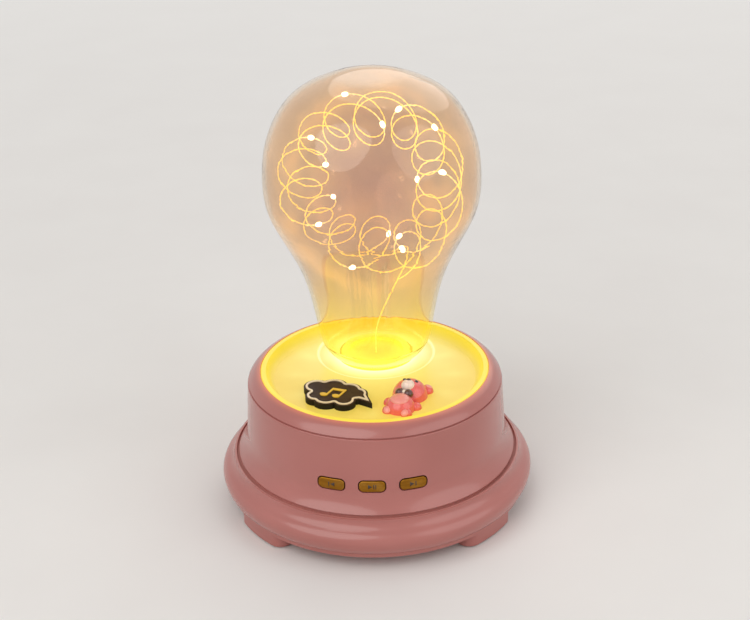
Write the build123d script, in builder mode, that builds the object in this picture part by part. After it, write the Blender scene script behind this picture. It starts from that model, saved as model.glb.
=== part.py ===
from build123d import *

import os
from math import cos, pi, radians, sin, sqrt

os.makedirs("parts", exist_ok=True)

# A speaker lamp: a round base with a speaker firing down, a lit tray on top, and a clear
# bulb with a fairy light wire in it. Millimetres, +Z up, the front and its buttons at -Y,
# and the origin on the ground under the middle of the base.

# Clearances
loose = 0.3  # between pieces that move past each other
snug = 0.2  # between round pieces that are put together once
seat = 0.1  # round a screw's shank or a cell in its saddle

# Bottom cover, its feet and their pads
pad_stand = 0.6  # how far the pads stand out of the feet
pad_thickness = 1.6
pad_margin = 2.0
foot_height = 5.4
foot_width = 11.0
foot_inset = 0.7  # from the cover's edge in to the feet's outer walls
foot_sweep = 18.5
foot_angles = (-141.5, -38.5, 38.5, 141.5)
foot_wall = 3.0
foot_floor = 2.5
cover_inset = 2.9  # from the flange's widest round in to the cover's edge
cover_thickness = 2.0
cover_chamfer = 0.5
cover_lip_height = 1.4
cover_lip_wall = 1.2
slot_width = 2.6
slot_rings = (7.0, 12.5, 18.0)
slots_in_ring = 6
slot_rib = 2.4

# Flange, the round skirt under the body: its widest radius, steps in from it, and rises above
# the cover
flange_wall = 2.2
flange_radius = 68.9
flange_rise = 6.0
ogee_inset = 2.7
ogee_rise = 10.4
lip_inset = 2.9
lip_rise = 15.0
lip_width = 0.9
neck_rise = 13.6
deck_thickness = 2.2
spigot_wall = 1.6
spigot_height = 2.6

# Body: steps in from the flange's lip, one after the other, and rises above the cover
body_wall = 2.2
hem_gap = 1.3
hem_rise = 15.9
hem_overhang = 1.3  # from the hem in to the neck under it
hem_seat = 3.6  # from the neck in to the spigot
flare_inset = 3.15
flare_rise = 21.0
waist_inset = 0.95
waist_rise = 26.0
shoulder_inset = 1.4
shoulder_rise = 48.2
shoulder_fillet = 0.4
shelf_drop = 6.2  # from the body's top edge down to the shelf
shelf_thickness = 2.0
shelf_width = 12.9

# Bezel
bezel_rise = 5.2  # from the body's top edge to the tray's rim
bezel_groove = 0.5
bezel_foot_rise = 0.8
bezel_step = 0.3  # from the body's top edge in to the bezel's foot
bezel_width = 5.6
bezel_bulge = 0.45
bezel_post_radius = 2.6
ledge_thickness = 2.0
ledge_drop = 4.2

# Tray
rim_width = 2.4
rim_fillet = 0.4
tray_slope = 3.2  # from the rim in to the tray's floor
tray_depth = 4.5
tray_hollow = 0.55  # how far the sloping wall sags below a straight line
tray_thickness = 2.0
skirt_inset = 3.4
step_radius = 26.0
step_depth = 0.7

# Bulb, on its own axis behind the middle: radii, and rises above the tray's floor
bulb_margin = 4.9  # between its neck and the back of the tray's floor
bulb_wall = 1.6
bulb_neck = 17.2
bulb_tail = 5.0  # how far the neck runs below the tray's floor
bowl_middle = (21.3, 3.4)
bowl_end = (23.9, 7.6)
waist_of_bulb = (27.0, 23.1)
flare_of_bulb = (32.3, 43.1)
shoulder_of_bulb = (40.9, 61.1)
bulb_radius = 46.85
bulb_equator = 82.8
crown_height = 46.5
crown_steps = 5
crown_power_out = 0.75
crown_power_up = 0.9
groove_depth = 0.8
ring_outer = 21.0
ring_thickness = 1.4
ring_gap = 5.0
plug_height = 6.6
plug_recess_radius = 12.5
plug_recess = 1.5
plug_hole = 3.0

# Fairy light wire: a wreath of loops that goes round twice, and a bead at every seventh quarter
wire_radius = 0.3
wire_loops = 24
wire_rounds = 2
wreath_radius = 30.0
wreath_swell = 0.04
wreath_rise = 81.0  # above the tray's floor
wreath_start = -74.0
wreath_depth = 14.0
loop_radius = 9.0
loop_swell = 0.12
loop_depth = 6.0
wire_rise = 6.0  # how far the wire stands straight out of the plug
bead_radius = 1.1
bead_count = 14
bead_first = 3
bead_step = 7

# Buttons, their guides in the body, and their switches and board
button_width = 10.9
button_height = 5.0
button_corner = 1.9
button_fillet = 0.4
button_pitch = 16.9
button_rise = 27.1
button_proud = 0.3
button_gap = 0.4
button_travel = 0.5
button_lip = 1.0
button_plate = 1.0
guide_wall = 1.0
guide_depth = 6.3  # from the body's inner wall in to the guides' inner faces
tact_width = 6.0
tact_depth = 3.5
stem_radius = 1.6
stem_stand = 0.7
stem_length = 1.6
panel_width = 45.0
panel_height = 18.0
board_thickness = 1.6
boss_radius = 2.1
boss_x = 8.4
boss_z = 6.3

# Main board, hung from the shelf on four columns
board_rise = 28.0
board_half_width = 34.0
board_gap = 2.2  # behind the button board's screws
board_rear_gap = 3.8
board_side_gap = 1.8
column_radius = 3.0
column_x = 30.0
column_inset = 5.5  # from the board's front edge
chip_place = (-14.0, -20.0)
chip_length = 15.0
chip_width = 12.0
chip_height = 2.2
driver_chip_places = ((8.0, -20.0), (-20.0, 10.0))
driver_chip_length = 5.0
driver_chip_width = 6.0
driver_chip_height = 1.5
capacitor_places = ((20.0, -6.0), (20.0, 6.0))
capacitor_radius = 3.2
capacitor_height = 7.5

# Rear sockets
port_gap = 0.4
usb_x = -9.0
usb_width = 7.5
usb_height = 2.6
usb_depth = 6.5
usb_wall = 0.35
usb_tongue = 0.7
recess_width = 11.0
recess_height = 6.6
recess_corner = 2.0
power_x = 6.0
power_width = 8.6
power_height = 3.6
power_depth = 3.6
power_gap = 2.6  # between the switch and the body's inner wall
knob_width = 2.0
knob_height = 1.5
knob_root = 1.6
knob_travel = 3.0

# Battery cell and its saddles
cell_radius = 9.15
cell_length = 65.0
cell_cap_radius = 3.2
cell_cap = 0.8
cell_x = -33.0
cell_lift = 2.0
saddle_width = 5.0
saddle_half = 8.0
saddle_rise = 7.0
saddle_y = 24.0

# Speaker, on the cover and firing down
driver_radius = 26.0
driver_ring = 1.4
driver_flange = 1.2
driver_window = 22.6
basket_radius = 24.4
basket_wall = 0.9
basket_straight = 3.4
basket_height = 13.0
basket_top = 15.9
basket_slot_width = 11.0
basket_slot_height = 5.5
magnet_radius = 15.0
magnet_height = 8.5
pole_radius = 6.4
pole_gap = 8.3
pole_depth = 5.5
coil_radius = 7.0
coil_wall = 0.6
coil_length = 8.0
cone_radius = 18.6
cone_rise = 3.4
cone_depth = 6.0
cone_wall = 0.6
cap_radius = 8.6
cap_drop = 2.0
cap_wall = 0.5
surround_wall = 0.5
surround_width = 4.2
clamp_place = 28.8
clamp_radius = 2.6
clamp_head = 3.6

# Screws
post_inset = 4.2  # from the spigot's outer wall in to the posts' middles
post_angle = 33.0  # each side of the front and rear lines
post_radius = 3.4
post_lift = 2.0
post_bore = 1.7
body_boss_height = 8.0
case_head = 2.7
case_head_height = 1.8
case_recess = 2.4
case_shank = 1.4
case_screw = 24.0
small_head = 1.9
small_head_height = 1.2
small_shank = 0.9
shelf_screw = 6.0
board_screw = 7.0
panel_screw = 7.0
led_screw = 3.4
led_screw_inset = 2.3
clamp_head_height = 1.4
clamp_screw = 2.4

# Light board under the tray
led_board_lap = 4.5  # how far the board lies on the shelf
led_board_hole = 24.5
led_place = 35.0
led_size = 5.0
led_height = 1.4

# Ornaments on the tray
plaque_place = (-15.9, -20.6)
plaque_turn = -27.0
plaque_height = 2.6
plaque_lobes = ((-10.0, 0.9, 5.6), (-3.6, 4.4, 6.0), (3.6, 4.0, 6.0), (8.2, 2.6, 5.2),
                (6.6, -4.6, 4.9), (-1.2, -6.0, 5.8), (-6.2, -6.2, 4.6), (1.0, -0.5, 6.5))
plaque_tail = ((12.6, 4.4), (18.5, -1.7), (9.5, -1.0))
outline_inset = 0.8
outline_width = 0.9
outline_height = 0.4
note_places = ((-3.6, -4.2), (1.8, -3.2))
note_head = (1.7, 1.25)
note_line = 0.8
note_stem = 6.4
note_bar = 1.4
note_height = 0.4
bear_place = (15.6, -19.6)
bear_turn = -20.0
head_radius = 7.6
ear_radius = 2.9
ear_place = (5.4, 6.0)
belly_radius = 6.4
belly_drop = 11.5
paw_radius = 2.6
paw_place = (5.9, -9.0)
leg_radius = 2.7
leg_place = (3.9, -15.4)
muzzle_radius = 3.0
muzzle_place = (0.0, -2.2, 5.8)
bow_radius = 2.0
bow_place = (1.9, -7.0, 4.9)

# Radii that follow, from the widest one in
cover_radius = flange_radius - cover_inset
foot_reach = cover_radius - foot_inset
foot_middle = foot_reach - foot_width / 2
ogee_radius = flange_radius - ogee_inset
lip_radius = ogee_radius - lip_inset
hem_radius = lip_radius - lip_width - hem_gap
neck_radius = hem_radius - hem_overhang
spigot_radius = neck_radius - hem_seat
post_place = spigot_radius - post_inset
flare_radius = hem_radius - flare_inset
waist_radius = flare_radius - waist_inset
shoulder_radius = waist_radius - shoulder_inset
body_inner = waist_radius - body_wall
body_bore = shoulder_radius - body_wall
shelf_inner = body_bore - shelf_width
bezel_foot_radius = shoulder_radius - bezel_step
rim_radius = bezel_foot_radius - bezel_width
tray_radius = rim_radius - rim_width - tray_slope
tray_skirt = rim_radius - skirt_inset
bezel_post_place = (tray_skirt + loose + body_bore - snug) / 2
led_board_radius = shelf_inner + led_board_lap

# Heights and places that follow
cover_base = pad_stand + foot_height
crease = cover_base + cover_thickness
neck_top = crease + neck_rise
hem = crease + hem_rise
spigot_top = hem + spigot_height
shoulder = crease + shoulder_rise
shelf_top = shoulder - shelf_drop
shelf_base = shelf_top - shelf_thickness
rim = shoulder + bezel_rise
ledge = rim - ledge_drop
ledge_base = ledge - ledge_thickness
tray_floor = rim - tray_depth
tray_base = tray_floor - tray_thickness
bulb_base = tray_floor - bulb_tail
plug_top = bulb_base + plug_height
plug_floor = plug_top - plug_recess
button_z = crease + button_rise
guide_face = body_inner - guide_depth
plate_back = guide_face - loose - button_plate
panel_face = plate_back - stem_stand - tact_depth
board_front = panel_face - board_thickness - small_head_height - board_gap
board_rear = body_inner - board_rear_gap
board_radius = body_inner - board_side_gap
column_y = board_front - column_inset
usb_end = body_inner
power_face = body_inner - power_gap
knob_end = waist_radius
board_base = crease + board_rise
board_top = board_base + board_thickness
usb_z = board_top + usb_height / 2
power_z = board_top + power_height / 2
cell_z = crease + cell_lift + cell_radius
magnet_base = crease + basket_height
cone_base = crease + cone_rise
cone_top = cone_base + cone_depth
bulb_back = tray_radius - bulb_neck - bulb_margin
bulb_plane = Plane(origin=(0, bulb_back, 0), x_dir=(1, 0, 0), z_dir=(0, -1, 0))
bulb_axis = Axis((0, bulb_back, 0), (0, 0, 1))
button_places = {"left": -button_pitch, "centre": 0.0, "right": button_pitch}


def polar(radius, angle):
    return radius * cos(radians(angle)), radius * sin(radians(angle))


def around(radius, middle, sweep):
    """The stretch of a circle that lies half a sweep each side of an angle."""
    return Edge.make_circle(radius, start_angle=middle - sweep / 2, end_angle=middle + sweep / 2)


def screw_set(plane, points, head, head_height, shank, length, way=1):
    """Screws with flat round heads on one side of a plane and their shanks on the other."""
    with BuildPart() as screws:
        with BuildSketch(plane):
            with Locations(*points):
                Circle(head)
        extrude(amount=way * head_height)
        with BuildSketch(plane):
            with Locations(*points):
                Circle(shank)
        extrude(amount=-way * length)
    return screws


post_points = [
    polar(post_place, side + turn) for side in (-90, 90) for turn in (-post_angle, post_angle)
]
clamp_points = [polar(clamp_place, angle) for angle in (45, 135, 225, 315)]
bezel_points = [polar(bezel_post_place, angle) for angle in (0, 90, 180, 270)]
led_screw_points = [polar(shelf_inner + led_screw_inset, angle) for angle in (20, 160, 200, 340)]
column_points = [(x, y) for x in (-column_x, column_x) for y in (-column_y, column_y)]
boss_points = [(x, button_z + z) for x in (-boss_x, boss_x) for z in (-boss_z, boss_z)]

# Bottom cover: a disc on four feet, with the speaker's seat and the battery's saddles
with BuildPart() as bottom_cover:
    with BuildSketch(Plane.XY.offset(cover_base)):
        Circle(cover_radius)
    extrude(amount=cover_thickness)
    chamfer(bottom_cover.edges().group_by(Axis.Z)[0], length=cover_chamfer)
    with BuildSketch(Plane.XY.offset(pad_stand)):
        for angle in foot_angles:
            SlotArc(around(foot_middle, angle, foot_sweep), foot_width)
    extrude(amount=foot_height)
    with BuildSketch(Plane.XY.offset(crease)):
        for angle in foot_angles:
            SlotArc(around(foot_middle, angle, foot_sweep), foot_width - 2 * foot_wall)
    extrude(amount=pad_stand + foot_floor - crease, mode=Mode.SUBTRACT)
    with BuildSketch(Plane.XY.offset(pad_stand)):
        for angle in foot_angles:
            SlotArc(around(foot_middle, angle, foot_sweep), foot_width - 2 * pad_margin)
    extrude(amount=pad_thickness - pad_stand, mode=Mode.SUBTRACT)
    with BuildSketch(Plane.XY.offset(crease)):
        Circle(cover_radius - flange_wall - snug)
        Circle(cover_radius - flange_wall - snug - cover_lip_wall, mode=Mode.SUBTRACT)
    extrude(amount=cover_lip_height)
    with BuildSketch(Plane.XY.offset(crease)):
        Circle(driver_radius + snug + driver_ring)
        with Locations(*clamp_points):
            Circle(clamp_radius)
        Circle(driver_radius + snug, mode=Mode.SUBTRACT)
    extrude(amount=driver_flange)
    with BuildSketch(Plane.XY.offset(crease)):
        with Locations((cell_x, -saddle_y), (cell_x, saddle_y)):
            Rectangle(2 * saddle_half, saddle_width)
    extrude(amount=saddle_rise)
    with BuildSketch(Plane.XZ):
        with Locations((cell_x, cell_z)):
            Circle(cell_radius + seat)
    extrude(amount=cell_length / 2, both=True, mode=Mode.SUBTRACT)
    with BuildSketch(Plane.XY.offset(crease)):
        with Locations(*post_points):
            Circle(post_radius)
    extrude(amount=post_lift)
    with Locations(*[Plane(origin=(x, y, cover_base), z_dir=(0, 0, -1)) for x, y in post_points]):
        CounterBoreHole(case_shank + seat, case_head + loose, case_recess)
    with Locations(*[(x, y, crease + driver_flange) for x, y in clamp_points]):
        Hole(small_shank + seat, depth=clamp_screw + seat)
    with BuildSketch(Plane.XY.offset(cover_base)):
        for ring in slot_rings:
            slot_sweep = 360 / slots_in_ring - (slot_width + slot_rib) / ring * 180 / pi
            for slot in range(slots_in_ring):
                SlotArc(around(ring, slot * 360 / slots_in_ring, slot_sweep), slot_width)
    extrude(amount=cover_thickness, mode=Mode.SUBTRACT)
bottom_cover.part.label = "bottom_cover"
export_step(bottom_cover.part, "parts/bottom_cover.step")

# Rubber pads, one in each foot
with BuildPart() as foot_pads:
    with BuildSketch():
        for angle in foot_angles:
            SlotArc(around(foot_middle, angle, foot_sweep), foot_width - 2 * pad_margin - snug)
    extrude(amount=pad_thickness)
foot_pads.part.label = "foot_pads"
export_step(foot_pads.part, "parts/foot_pads.step")

# Flange housing: an ogee skirt, a deck with the neck that the body stands on, and four posts
with BuildPart() as flange_housing:
    with BuildSketch(Plane.XZ):
        with BuildLine():
            belly = (flange_radius, crease + flange_rise)
            TangentArc(belly, (cover_radius, crease), tangent=(0, -1))
            upper = TangentArc(belly, (ogee_radius, crease + ogee_rise), tangent=(0, 1))
            TangentArc(upper @ 1, (lip_radius, crease + lip_rise), tangent=upper % 1)
            inner_belly = (flange_radius - flange_wall, crease + flange_rise)
            inner_upper = (ogee_radius - flange_wall / 2, crease + ogee_rise - flange_wall)
            Polyline(
                (lip_radius, crease + lip_rise),
                (lip_radius - lip_width, crease + lip_rise),
                (lip_radius - lip_width, neck_top),
                (neck_radius, neck_top),
                (neck_radius, hem),
                (spigot_radius, hem),
                (spigot_radius, spigot_top),
                (spigot_radius - spigot_wall, spigot_top),
                (spigot_radius - spigot_wall, neck_top - deck_thickness),
                (neck_radius, neck_top - deck_thickness),
                inner_upper,
            )
            TangentArc(inner_belly, inner_upper, tangent=(0, 1))
            TangentArc(inner_belly, (cover_radius - flange_wall, crease), tangent=(0, -1))
            Line((cover_radius - flange_wall, crease), (cover_radius, crease))
        make_face()
    revolve(axis=Axis.Z)
    with BuildSketch(Plane.XY.offset(crease + post_lift)):
        with Locations(*post_points):
            Circle(post_radius)
    extrude(amount=spigot_top - crease - post_lift)
    with BuildSketch(Plane.XY.offset(spigot_top)):
        with Locations(*post_points):
            Circle(post_bore)
    extrude(amount=crease + post_lift - spigot_top, mode=Mode.SUBTRACT)
flange_housing.part.label = "flange_housing"
export_step(flange_housing.part, "parts/flange_housing.step")

# The space inside the body, less the shelf, columns, bosses and button guides that stand in it
with BuildPart() as body_space:
    with BuildSketch(Plane.XZ):
        with BuildLine():
            Polyline(
                (0, hem),
                (spigot_radius + snug, hem),
                (spigot_radius + snug, spigot_top + loose),
                (body_inner, crease + flare_rise + body_wall),
                (body_bore, shoulder),
                (0, shoulder),
                close=True,
            )
        make_face()
    revolve(axis=Axis.Z)
    with BuildSketch(Plane.XY.offset(shelf_base)):
        Circle(hem_radius)
        Circle(shelf_inner, mode=Mode.SUBTRACT)
    extrude(amount=shelf_thickness, mode=Mode.SUBTRACT)
    with BuildSketch(Plane.XY.offset(shelf_base)):
        with Locations(*column_points):
            Circle(column_radius)
    extrude(amount=board_top - shelf_base, mode=Mode.SUBTRACT)
    with BuildSketch(Plane.XY.offset(spigot_top)):
        with Locations(*post_points):
            Circle(post_radius)
    extrude(amount=body_boss_height, mode=Mode.SUBTRACT)
    with BuildSketch(Plane.XZ.offset(guide_face)):
        with Locations(*[(x, button_z) for x in button_places.values()]):
            RectangleRounded(
                button_width + 2 * (button_gap + guide_wall),
                button_height + 2 * (button_gap + guide_wall),
                button_corner + button_gap + guide_wall,
            )
    extrude(amount=hem_radius - guide_face, mode=Mode.SUBTRACT)
    with BuildSketch(Plane.XZ.offset(panel_face)):
        with Locations(*boss_points):
            Circle(boss_radius)
    extrude(amount=hem_radius - panel_face, mode=Mode.SUBTRACT)

# Body housing: the flared wall, with its windows for the buttons and the rear sockets
with BuildPart() as body_housing:
    with BuildSketch(Plane.XZ):
        with BuildLine():
            ThreePointArc(
                (hem_radius, hem),
                (flare_radius, crease + flare_rise),
                (waist_radius, crease + waist_rise),
            )
            Polyline(
                (waist_radius, crease + waist_rise),
                (shoulder_radius, shoulder),
                (0, shoulder),
                (0, hem),
                (hem_radius, hem),
            )
        make_face()
    revolve(axis=Axis.Z)
    fillet(body_housing.edges().group_by(Axis.Z)[-1], radius=shoulder_fillet)
    add(body_space.part, mode=Mode.SUBTRACT)
    with BuildSketch(Plane.XZ.offset(guide_face)):
        with Locations(*[(x, button_z) for x in button_places.values()]):
            RectangleRounded(
                button_width + 2 * button_gap, button_height + 2 * button_gap, button_corner + button_gap
            )
    extrude(amount=hem_radius - guide_face, mode=Mode.SUBTRACT)
    with BuildSketch(Plane.XZ.offset(panel_face)):
        with Locations(*boss_points):
            Circle(small_shank + seat)
    extrude(amount=panel_screw, mode=Mode.SUBTRACT)
    with BuildSketch(Plane.XY.offset(spigot_top)):
        with Locations(*post_points):
            Circle(case_shank + seat)
    extrude(amount=body_boss_height - 1, mode=Mode.SUBTRACT)
    with BuildSketch(Plane.XY.offset(board_top)):
        with Locations(*column_points):
            Circle(small_shank + seat)
    extrude(amount=board_screw, mode=Mode.SUBTRACT)
    with BuildSketch(Plane.XY.offset(shelf_top)):
        with Locations(*bezel_points, *led_screw_points):
            Circle(small_shank + seat)
    extrude(amount=-shelf_thickness, mode=Mode.SUBTRACT)
    with BuildSketch(Plane.XZ.offset(-board_rear)):
        with Locations((usb_x, usb_z)):
            RectangleRounded(usb_width + 2 * port_gap, usb_height + 2 * port_gap, port_gap)
        with Locations((power_x + knob_travel / 2, power_z)):
            RectangleRounded(
                knob_width + knob_travel + 2 * port_gap, knob_height + 2 * port_gap, port_gap
            )
    extrude(amount=board_rear - hem_radius, mode=Mode.SUBTRACT)
    with BuildSketch(Plane.XZ.offset(-usb_end)):
        with Locations((usb_x, usb_z)):
            RectangleRounded(recess_width, recess_height, recess_corner)
    extrude(amount=usb_end - hem_radius, mode=Mode.SUBTRACT)
body_housing.part.label = "body_housing"
export_step(body_housing.part, "parts/body_housing.step")

# Bezel: the ring round the tray, on a shadow groove, with the ledge that carries the tray
with BuildPart() as top_bezel:
    with BuildSketch(Plane.XZ):
        with BuildLine():
            slope_foot = (bezel_foot_radius, shoulder + bezel_foot_rise)
            slope_top = (rim_radius + snug, rim)
            slope_middle = (
                (slope_foot[0] + slope_top[0]) / 2 + bezel_bulge,
                (slope_foot[1] + slope_top[1]) / 2 + bezel_bulge,
            )
            ThreePointArc(slope_foot, slope_middle, slope_top)
            Polyline(
                slope_top,
                (rim_radius + snug, ledge),
                (tray_skirt + loose, ledge),
                (tray_skirt + loose, ledge_base),
                (body_bore - snug, ledge_base),
                (body_bore - snug, shoulder),
                (bezel_foot_radius - bezel_groove, shoulder),
                (bezel_foot_radius - bezel_groove, shoulder + bezel_groove),
                slope_foot,
            )
        make_face()
    revolve(axis=Axis.Z)
    with BuildSketch(Plane.XY.offset(shelf_top)):
        with Locations(*bezel_points):
            Circle(bezel_post_radius)
    extrude(amount=ledge_base - shelf_top)
    with BuildSketch(Plane.XY.offset(shelf_top)):
        with Locations(*bezel_points):
            Circle(small_shank + seat)
    extrude(amount=shelf_screw - shelf_thickness, mode=Mode.SUBTRACT)
top_bezel.part.label = "top_bezel"
export_step(top_bezel.part, "parts/top_bezel.step")

# Tray: a shallow dish that the light board shines through
with BuildPart() as light_tray:
    with BuildSketch(Plane.XZ):
        with BuildLine():
            wall_top = (rim_radius - rim_width, rim)
            wall_foot = (tray_radius, tray_floor)
            wall_middle = (
                (wall_top[0] + wall_foot[0]) / 2 + tray_hollow,
                (wall_top[1] + wall_foot[1]) / 2 - tray_hollow,
            )
            ThreePointArc(wall_foot, wall_middle, wall_top)
            Polyline(
                wall_top,
                (rim_radius, rim),
                (rim_radius, ledge),
                (tray_skirt, ledge),
                (tray_skirt, tray_base),
                (0, tray_base),
                (0, tray_floor),
                wall_foot,
            )
        make_face()
    revolve(axis=Axis.Z)
    fillet(light_tray.edges().group_by(Axis.Z)[-1], radius=rim_fillet)
    with BuildSketch(Plane.XY.offset(tray_floor)):
        Circle(tray_radius)
        with Locations((0, bulb_back)):
            Circle(step_radius, mode=Mode.INTERSECT)
    extrude(amount=-step_depth, mode=Mode.SUBTRACT)
    with BuildSketch(Plane.XY.offset(tray_base)):
        with Locations((0, bulb_back)):
            Circle(bulb_neck + snug)
    extrude(amount=tray_thickness, mode=Mode.SUBTRACT)
light_tray.part.label = "light_tray"
export_step(light_tray.part, "parts/light_tray.step")


def crown_point(step):
    """A place on the bulb's crown: a flattened quarter ellipse, from the equator to the top."""
    turn = radians(90 * step / crown_steps)
    if step == crown_steps:
        return 0, tray_floor + bulb_equator + crown_height
    return (
        bulb_radius * cos(turn) ** crown_power_out,
        tray_floor + bulb_equator + crown_height * sin(turn) ** crown_power_up,
    )


def on_bulb(place):
    return place[0], tray_floor + place[1]


# Bulb: one clear shell, open at its neck, with a groove for the ring that holds it
with BuildPart() as bulb_shade:
    with BuildSketch(bulb_plane):
        with BuildLine():
            Polyline((0, bulb_base), (bulb_neck, bulb_base), (bulb_neck, tray_floor))
            ThreePointArc((bulb_neck, tray_floor), on_bulb(bowl_middle), on_bulb(bowl_end))
            Spline(
                on_bulb(bowl_end),
                on_bulb(waist_of_bulb),
                on_bulb(flare_of_bulb),
                on_bulb(shoulder_of_bulb),
                (bulb_radius, tray_floor + bulb_equator),
                tangents=[(0.3, 1), (0, 1)],
            )
            Spline(
                *[crown_point(step) for step in range(crown_steps + 1)],
                tangents=[(0, 1), (-1, 0)],
            )
            Line(crown_point(crown_steps), (0, bulb_base))
        make_face()
    revolve(axis=bulb_axis)
    offset(amount=-bulb_wall, openings=bulb_shade.faces().sort_by(Axis.Z)[0])
    with BuildSketch(Plane.XY.offset(tray_base)):
        with Locations((0, bulb_back)):
            Circle(bulb_neck)
            Circle(bulb_neck - groove_depth, mode=Mode.SUBTRACT)
    extrude(amount=-ring_thickness - seat, mode=Mode.SUBTRACT)
bulb_shade.part.label = "bulb_shade"
export_step(bulb_shade.part, "parts/bulb_shade.step")

# Ring: a split ring that snaps into the bulb's groove under the tray
with BuildPart() as bulb_ring:
    with BuildSketch(Plane.XY.offset(tray_base)):
        with Locations((0, bulb_back)):
            Circle(ring_outer)
            Circle(bulb_neck - groove_depth + snug / 2, mode=Mode.SUBTRACT)
        with Locations((0, bulb_back - ring_outer)):
            Rectangle(ring_gap, ring_outer, mode=Mode.SUBTRACT)
    extrude(amount=-ring_thickness)
bulb_ring.part.label = "bulb_ring"
export_step(bulb_ring.part, "parts/bulb_ring.step")

# Plug: closes the bulb's neck and holds the end of the fairy light wire
with BuildPart() as wire_plug:
    with BuildSketch(Plane.XY.offset(bulb_base)):
        with Locations((0, bulb_back)):
            Circle(bulb_neck - bulb_wall - snug)
    extrude(amount=plug_height)
    with Locations((0, bulb_back, plug_top)):
        CounterBoreHole(wire_radius + snug, plug_recess_radius, plug_recess, plug_recess + plug_hole)
wire_plug.part.label = "wire_plug"
export_step(wire_plug.part, "parts/wire_plug.step")


def wreath_point(turns):
    """A place on the wreath of loops, after so many loops from its start."""
    spoke = radians(wreath_start - 360 * wire_rounds * turns / wire_loops)
    phase = -2 * pi * turns
    reach = wreath_radius * (1 + wreath_swell * sin(1.7 * turns))
    loop = loop_radius * (1 + loop_swell * sin(2.1 * turns + 0.5))
    out = reach + loop * cos(phase)
    along = loop * sin(phase)
    return Vector(
        out * cos(spoke) - along * sin(spoke),
        bulb_back + wreath_depth * (1 - 2 * turns / wire_loops) + loop_depth * sin(phase),
        tray_floor + wreath_rise + out * sin(spoke) + along * cos(spoke),
    )


def wreath_way(turns):
    return (wreath_point(turns + 0.001) - wreath_point(turns - 0.001)).normalized()


def two_arcs(start, start_way, end, end_way):
    """Two tangent arcs from one place and direction to the next, as (start, direction, end)."""
    reach = end - start
    ways = start_way + end_way
    spread = 2 * (1 - start_way.dot(end_way))
    along = reach.dot(ways)
    length = (sqrt(along * along + spread * reach.dot(reach)) - along) / spread
    first = start + start_way * length
    second = end - end_way * length
    middle = (first + second) * 0.5
    return [(start, start_way, middle), (middle, (second - first).normalized(), end)]


# Fairy light wire: one tube from the plug, through every loop, on two arcs for each quarter loop
wire_foot = Vector(0, bulb_back, plug_floor - plug_hole)
wire_bend = Vector(0, bulb_back, plug_top + wire_rise)
up = Vector(0, 0, 1)
quarters = [step / 4 for step in range(4 * wire_loops + 1)]
wire_arcs = two_arcs(wire_bend, up, wreath_point(0), wreath_way(0))
for turns in quarters[:-1]:
    wire_arcs += two_arcs(
        wreath_point(turns), wreath_way(turns), wreath_point(turns + 0.25), wreath_way(turns + 0.25)
    )
with BuildPart() as fairy_wire:
    with BuildLine() as wire_line:
        Line(wire_foot, wire_bend)
        for start, way, end in wire_arcs:
            TangentArc(start, end, tangent=way)
    with BuildSketch(Plane(origin=wire_foot, z_dir=(0, 0, 1))):
        Circle(wire_radius)
    sweep()
fairy_wire.part.label = "fairy_wire"
export_step(fairy_wire.part, "parts/fairy_wire.step")

# The wire's least gap to itself, measured on points along its line
wire_points = [edge @ (i / 8) for edge in wire_line.edges() for i in range(8)]
wire_gaps = [
    (wire_points[i] - wire_points[j]).length - 2 * wire_radius
    for i in range(0, len(wire_points), 2)
    for j in range(i + 40, len(wire_points), 2)
]
print("least gap of the wire to itself, mm:", round(min(wire_gaps), 2))
print("length of the wire, mm:", round(sum(edge.length for edge in wire_line.edges())))

# Beads: the lamps on the wire
with BuildPart() as led_beads:
    with Locations(*[wreath_point((bead_first + bead_step * bead) / 4) for bead in range(bead_count)]):
        Sphere(bead_radius)
led_beads.part.label = "led_beads"
export_step(led_beads.part, "parts/led_beads.step")

# Buttons: a cap in its window, a plate behind the guide, and the switch stem that it presses
for side, x in button_places.items():
    with BuildPart() as button:
        with BuildSketch(Plane.XZ.offset(guide_face - loose)):
            with Locations((x, button_z)):
                RectangleRounded(button_width, button_height, button_corner)
        extrude(amount=hem_radius - guide_face)
        with BuildSketch(Plane.XY.offset(button_z - button_height)):
            Circle(waist_radius + button_proud)
        extrude(amount=2 * button_height, mode=Mode.INTERSECT)
        fillet(button.faces().sort_by(Axis.Y)[0].edges(), radius=button_fillet)
        with BuildSketch(Plane.XZ.offset(guide_face - loose)):
            with Locations((x, button_z)):
                RectangleRounded(
                    button_width + 2 * button_lip, button_height + 2 * button_lip, button_corner
                )
        extrude(amount=-button_plate)
    button.part.label = f"button_{side}"
    export_step(button.part, f"parts/button_{side}.step")
    with BuildPart() as switch_stem:
        with BuildSketch(Plane.XZ.offset(plate_back)):
            with Locations((x, button_z)):
                Circle(stem_radius)
        extrude(amount=-stem_length)
    switch_stem.part.label = f"switch_stem_{side}"
    export_step(switch_stem.part, f"parts/switch_stem_{side}.step")

# Push switches on the button board
with BuildPart() as push_switches:
    with BuildSketch(Plane.XZ.offset(panel_face)):
        with Locations(*[(x, button_z) for x in button_places.values()]):
            Rectangle(tact_width, tact_width)
    extrude(amount=tact_depth)
    with BuildSketch(Plane.XZ.offset(panel_face + tact_depth)):
        with Locations(*[(x, button_z) for x in button_places.values()]):
            Circle(stem_radius + loose)
    extrude(amount=stem_stand - stem_length - button_travel - loose, mode=Mode.SUBTRACT)
push_switches.part.label = "push_switches"
export_step(push_switches.part, "parts/push_switches.step")

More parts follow.
